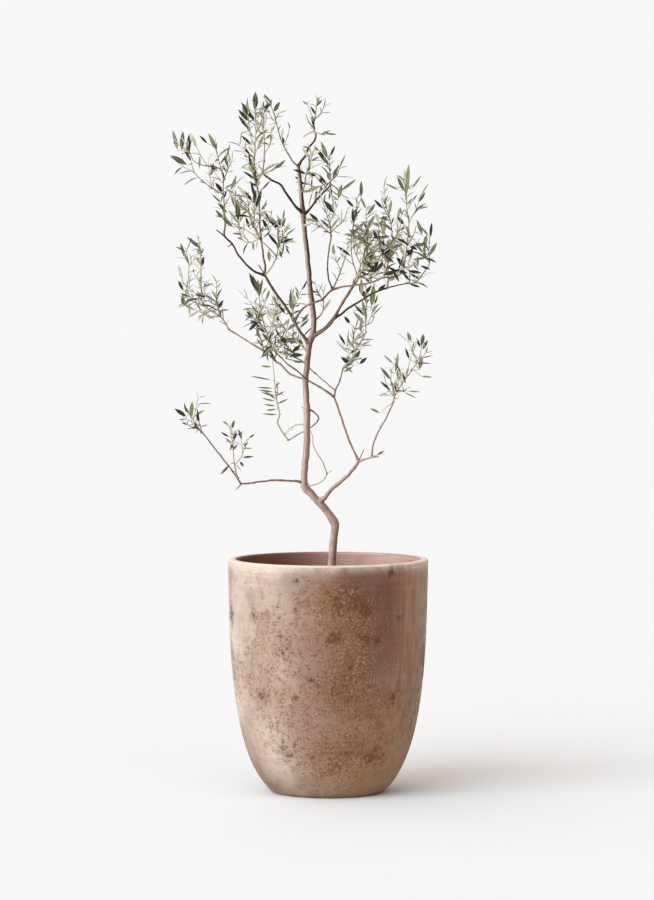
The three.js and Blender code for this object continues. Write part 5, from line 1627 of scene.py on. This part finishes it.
def chosen_leaves(mass):
    """The single leaves of a mass, with their upper side to the front, and their twigs."""
    leaves, twigs = [], []
    for x, y, z, tip_x, tip_z, width, letter in CHOSEN_LEAVES.get(mass["short_name"], []):
        root = np.array([x, y, z], float)
        reach = np.array([tip_x, y - CHOSEN_LEAF_LEAN, tip_z]) - root
        direction = unit(reach)
        leaves.append({
            "root": root, "direction": direction, "width": width,
            "face": unit(-AWAY + direction * direction[1]),
            "length": float(np.linalg.norm(reach)), "bend": 0.2, "fold": 0.2,
            "colour": COLOUR_LETTERS.index(letter), "under": False,
        })
        gaps = np.linalg.norm(mass["samples"] - root, axis=1)
        if gaps.min() > CHOSEN_TWIG_FROM:
            foot = mass["samples"][gaps.argmin()]
            twigs.append(bent_twig(foot, root))
    return leaves, twigs


def shows_sky(points):
    """Whether any of some points lies in front of or behind an open place of the crown."""
    scale = (EYE_DISTANCE + points[:, 1]) / EYE_DISTANCE
    heights = EYE_HEIGHT + (points[:, 2] - EYE_HEIGHT) / scale
    seen = np.column_stack([points[:, 0] / scale, heights])
    gaps = np.linalg.norm(seen[:, None] - OPEN_PLACES[None, :, :2], axis=2)
    return bool((gaps < OPEN_PLACES[:, 2]).any())


def grow(mass, seed, inside):
    draw = seeded(seed)
    spines = [(mass["stem"], mass["bare"])]
    spines += [(shoot, PAIR_EVERY / 2) for shoot in mass["shoots"]]
    twigs = [twig for spine in spines for twig in draw_twigs(draw, *spine)]
    twigs = [twig for twig in twigs if inside(twig.at(TWIG_SPACE_PLACES * twig.length), TWIG_ROOM)]
    twigs += [bent_twig(foot, tip) for foot, tip in MORE_TWIGS.get(mass["short_name"], [])]
    drawn = [leaf for route, bare in spines for leaf in draw_leaves(draw, route, mass, bare)]
    kept = []
    for twig in twigs:
        twig_leaves = draw_leaves(draw, twig, mass, PAIR_EVERY / 2)
        if not shows_sky(twig.at(TWIG_SKY_PLACES * twig.length)):
            kept.append(twig)
            drawn += twig_leaves
    drawn = [leaf for leaf in drawn if not shows_sky(leaf_points(leaf))]
    leaves, short_twigs = chosen_leaves(mass)
    return kept + short_twigs, leaves_with_room(leaves, drawn, inside)


all_twigs, all_leaves = [], []
for index, mass in enumerate(masses):
    if mass["leaf"]:
        twigs, leaves = grow(mass, index + 1, space_test(mass, masses))
        all_twigs += twigs
        all_leaves += leaves
print("grown:", len(all_twigs), "twigs and", len(all_leaves), "leaves")

# %% [markdown]
# ## Stems, shoots and twigs
#
# They are thin tubes from the same tool as the boughs, with few sides, since there are many
# of them. A stem is under 4 mm thick above the swelling at its foot, and a twig ends at
# little over 1 mm. Small swellings mark the leaf nodes.

# %% Twigs as one mesh
STEM_FOOT, STEM_TIP = 1.7, 0.75
SHOOT_FOOT, TWIG_FOOT, TWIG_TIP = 1.25, 0.85, 0.55
TWIG_STEP = 5
NODE_SWELLING, FOOT_SWELLING = 0.14, 1.5


def thin_run(route, foot, tip):
    points = route.spaced(TWIG_STEP)
    share = np.linspace(0, 1, len(points))
    nodes = 1 + NODE_SWELLING * np.sin(2 * math.pi * share * route.length / PAIR_EVERY)
    radii = (foot + (tip - foot) * share) * nodes
    radii[0] *= FOOT_SWELLING
    return points, radii


twig_runs = []
for mass in masses:
    twig_runs.append(thin_run(mass["stem"], STEM_FOOT, STEM_TIP))
    for route in mass["shoots"] + mass["bare_shoots"]:
        twig_runs.append(thin_run(route, SHOOT_FOOT, STEM_TIP))
twig_runs += [thin_run(route, TWIG_FOOT, TWIG_TIP) for route in all_twigs]
twig_mesh = tubes("twigs_bark", twig_runs, 1)
mass_names = [row[0] for row in MASSES]
twigs = add_piece("twigs_bark", twig_mesh, mass_names)
# the twigs get the same painted light and shade as the bark
write_painted_light_and_age(twig_mesh)
twig_mesh.materials.append(
    bark("twig_bark", "cbbf9f", "a3946f", "6b5840", "6b5a42", "8b7464", "cdb7a6"))

# %% [markdown]
# ## One leaf
#
# An olive leaf is a narrow blade, pointed at both ends, on a short stalk. It is dark and a
# little glossy above, silvery and matt below, and folded slightly along its midrib. It
# starts as a cube stood on edge and cut into seven stretches, which gives a tube with four
# sides: two for the upper face and two for the lower. The tube is then read as numbers:
# how far along, how far across, and whether above or below. With these numbers one leaf
# can be bent, folded and placed two thousand times by array arithmetic, and all leaves end
# up in one joined mesh.

# %% The blade and its outline
LEAF_STATIONS = np.array([0.0, 0.09, 0.2, 0.36, 0.54, 0.72, 0.88, 1.0])
LEAF_HALF_WIDTHS = np.array([0.09, 0.1, 0.58, 0.93, 1.0, 0.82, 0.42, 0.03])
LEAF_THICKNESSES = np.array([0.9, 0.8, 0.8, 0.75, 0.65, 0.55, 0.4, 0.15])


def leaf_blade():
    shape = bmesh.new()
    bmesh.ops.create_cube(shape, size=1.0)
    bmesh.ops.rotate(shape, matrix=Matrix.Rotation(math.pi / 4, 3, "X"), verts=shape.verts)
    long_edges = [e for e in shape.edges if abs(e.verts[0].co.x - e.verts[1].co.x) > 0.5]
    bmesh.ops.subdivide_edges(shape, edges=long_edges, cuts=len(LEAF_STATIONS) - 2)
    shape.verts.ensure_lookup_table()
    corners = np.array([vertex.co for vertex in shape.verts])
    faces = [[vertex.index for vertex in face.verts] for face in shape.faces]
    above = [face.normal.z > 0.1 for face in shape.faces]
    shape.free()
    return corners, faces, above


blade_corners, blade_faces, blade_above = leaf_blade()
blade_station = np.rint((blade_corners[:, 0] + 0.5) * (len(LEAF_STATIONS) - 1)).astype(int)
blade_across = np.where(abs(blade_corners[:, 1]) > 0.3, np.sign(blade_corners[:, 1]), 0.0)
blade_up = np.where(abs(blade_corners[:, 2]) > 0.3, np.sign(blade_corners[:, 2]), 0.0)
print("one leaf has", len(blade_corners), "vertices and", len(blade_faces), "faces")

# %% [markdown]
# The leaf's own UV map holds how far along and how far across each corner is, so that the
# material can draw the paler midrib. Each leaf's upper faces take one of four greens, and
# its lower faces one of two silvers.

# %% Place every leaf
LEAF_UNDERS = 4
LEAST_BEND = 0.02
SHARP_ANGLE = 55


def leaf_vertices(leaf):
    along = LEAF_STATIONS[blade_station]
    half = LEAF_HALF_WIDTHS[blade_station] * leaf["width"] / 2
    lift = np.abs(blade_across) * half * math.sin(leaf["fold"])
    lift = lift + blade_up * LEAF_THICKNESSES[blade_station] / 2
    bend = leaf["bend"] if abs(leaf["bend"]) > LEAST_BEND else LEAST_BEND
    angle = bend * along
    forward = leaf["length"] * np.sin(angle) / bend + lift * np.sin(angle)
    upward = -leaf["length"] * (1 - np.cos(angle)) / bend + lift * np.cos(angle)
    aside = blade_across * half * math.cos(leaf["fold"])
    across = np.cross(leaf["face"], leaf["direction"])
    return (leaf["root"] + np.outer(forward, leaf["direction"]) + np.outer(aside, across)
            + np.outer(upward, leaf["face"]))


def leaves_mesh(name, leaves):
    places = np.vstack([leaf_vertices(leaf) for leaf in leaves]) * MM
    faces, slots = [], []
    for number, leaf in enumerate(leaves):
        first = number * len(blade_corners)
        faces += [[first + corner for corner in face] for face in blade_faces]
        lower = LEAF_UNDERS + leaf["under"]
        slots += [leaf["colour"] if above else lower for above in blade_above]
    mesh = bpy.data.meshes.new(name)
    mesh.from_pydata(places.tolist(), [], faces)
    mesh.polygons.foreach_set("material_index", slots)
    own = np.column_stack([LEAF_STATIONS[blade_station], 0.5 + 0.5 * blade_across])
    loops = own[np.concatenate(blade_faces)]
    layer = mesh.uv_layers.new(name="leaf")
    layer.data.foreach_set("uv", np.tile(loops, (len(leaves), 1)).ravel())
    mesh.shade_smooth()
    mesh.set_sharp_from_angle(angle=math.radians(SHARP_ANGLE))
    return mesh


leaf_mesh = leaves_mesh("leaves", all_leaves)
leafy_names = [row[0] for row in MASSES if row[2]]
leaves = add_piece("leaves", leaf_mesh, leafy_names)

# %% [markdown]
# ## Leaf finishes
#
# The upper side has a waxy skin, so it is smoother and has a soft highlight. The lower side
# is covered in tiny pale scales and is matt. A narrow pale line marks the midrib, and noise
# shifts each green a little from leaf to leaf and along the blade.

# %% Greens and silvers
def leaf_finish(name, deep, light, rib, roughness, specular):
    finish = Finish(name, roughness, specular)
    layer = finish.add("ShaderNodeUVMap", uv_map="leaf").outputs["UV"]
    across = finish.split(layer)["Y"]
    off_middle = finish.math("ABSOLUTE", finish.math("SUBTRACT", across, 0.5), 0.0)
    shade = finish.noise(16, detail=2)
    fine = finish.noise(1.4, detail=2)
    colour = finish.blend(finish.step(shade, 0.3, 0.7), paint(deep), paint(light))
    colour = finish.blend(finish.step(fine, 0.4, 0.75, 0, 0.25), colour, paint(light))
    colour = finish.blend(finish.step(off_middle, 0.03, 0.09, 0.7, 0), colour, paint(rib))
    normal = finish.bump(finish.step(off_middle, 0.0, 0.12), 0.15, finish.bump(fine, 0.06))
    dull = finish.step(fine, 0.3, 0.7, roughness - 0.06, roughness + 0.08)
    return finish.done(colour, dull, normal)


# the greens are darker than the leaves' own colours, the dark one near black, so part of the
# crown's inner shade is painted in them
# name, deep and light colour, rib, roughness and gloss
LEAF_FINISHES = [
    ("leaf_dark", "12160f", "20261b", "454b36", 0.45, 0.3),
    ("leaf_green", "313823", "4b5436", "7f885c", 0.5, 0.35),
    ("leaf_grey", "5f654c", "7f8363", "a8aa84", 0.58, 0.35),
    ("leaf_fresh", "55692f", "6f8346", "98a868", 0.5, 0.4),
    ("leaf_silver", "b9bba5", "d2d2bd", "cdccab", 0.75, 0.25),
    ("leaf_silver_green", "83876a", "a5a786", "b5b58e", 0.75, 0.25),
]
for row in LEAF_FINISHES:
    leaf_mesh.materials.append(leaf_finish(*row))
print("leaf finishes:", [row[0] for row in LEAF_FINISHES])

# %% [markdown]
# ## Floor
#
# The tree stands on a plain white sheet in a studio. One grid 120 metres wide does for it,
# so that its far edge lies behind the crown. The paper is a hair bluer than white, because
# the light on it is warm, and faint noise varies it a little.

# %% Floor
FLOOR_SIZE = 120
floor_shape = bmesh.new()
bmesh.ops.create_grid(floor_shape, x_segments=2, y_segments=2, size=FLOOR_SIZE / 2)
floor_mesh = closed_mesh("floor", floor_shape)
floor = bpy.data.objects.new("floor", floor_mesh)
scene.collection.objects.link(floor)
floor_finish = Finish("paper", 0.9, 0.1)
tooth = floor_finish.noise(400, detail=2)
floor_mesh.materials.append(floor_finish.done(
    floor_finish.blend(tooth, paint("edf8ff"), paint("effaff"))))
print("floor, side in metres:", FLOOR_SIZE)

# %% [markdown]
# ## Light
#
# Soft light comes from a large, low window between the front and the left, and the right
# side of the room is dark. So the pot is bright on its left, brown on its right, and its
# shadow falls to the right and back. A sun with a wide angle stands for the window. The rest
# is a sky that is warm and fades from left to right, with another strength for the part of
# the room behind the camera. Behind the tree it is white and about as bright as the floor,
# so the seam between them hardly shows. The colours are shown as they are, without a film
# look.

# %% Light
SUN_SIDE = 42
SUN_HEIGHT = 26
SUN_STRENGTH = 2.35
SUN_SOFTNESS = 56
SUN_COLOUR = (0.93, 1.0, 1.08)
BACKGROUND_LEFT, BACKGROUND_RIGHT = 0.940, 0.931
SKY_LEFT, SKY_RIGHT, SKY_FRONT = 1.17, 0.47, 0.76
SKY_COLOUR = (1.0, 0.83, 0.73, 1.0)
WHITE = (1.0, 1.0, 1.0, 1.0)

sun_data = bpy.data.lights.new("window", "SUN")
sun_data.energy = SUN_STRENGTH
sun_data.angle = math.radians(SUN_SOFTNESS)
sun_data.color = SUN_COLOUR
sun = bpy.data.objects.new("window", sun_data)
sun.rotation_euler = (math.radians(90 - SUN_HEIGHT), 0, math.radians(-SUN_SIDE))
scene.collection.objects.link(sun)

world = bpy.data.worlds.new("studio")
world.use_nodes = True
scene.world = world
sky = Network(world.node_tree)
direction = sky.split(sky.add("ShaderNodeTexCoord").outputs["Generated"])
left_right = sky.step(direction["X"], -0.6, 0.5, SKY_LEFT, SKY_RIGHT)
behind_camera = sky.step(direction["Y"], -0.2, -0.7)
room = sky.blend(behind_camera, left_right, SKY_FRONT, "FLOAT")
behind_tree = sky.step(direction["Y"], 0.8, 0.97)
backdrop = sky.step(direction["X"], -0.1, 0.1, BACKGROUND_LEFT, BACKGROUND_RIGHT)
background = sky.tree.nodes["Background"]
sky.feed(background.inputs["Strength"], sky.blend(behind_tree, room, backdrop, "FLOAT"))
sky.feed(background.inputs["Color"], sky.blend(behind_tree, SKY_COLOUR, WHITE))
scene.view_settings.view_transform = "Standard"
print("window light from the left,", SUN_HEIGHT, "degrees up")
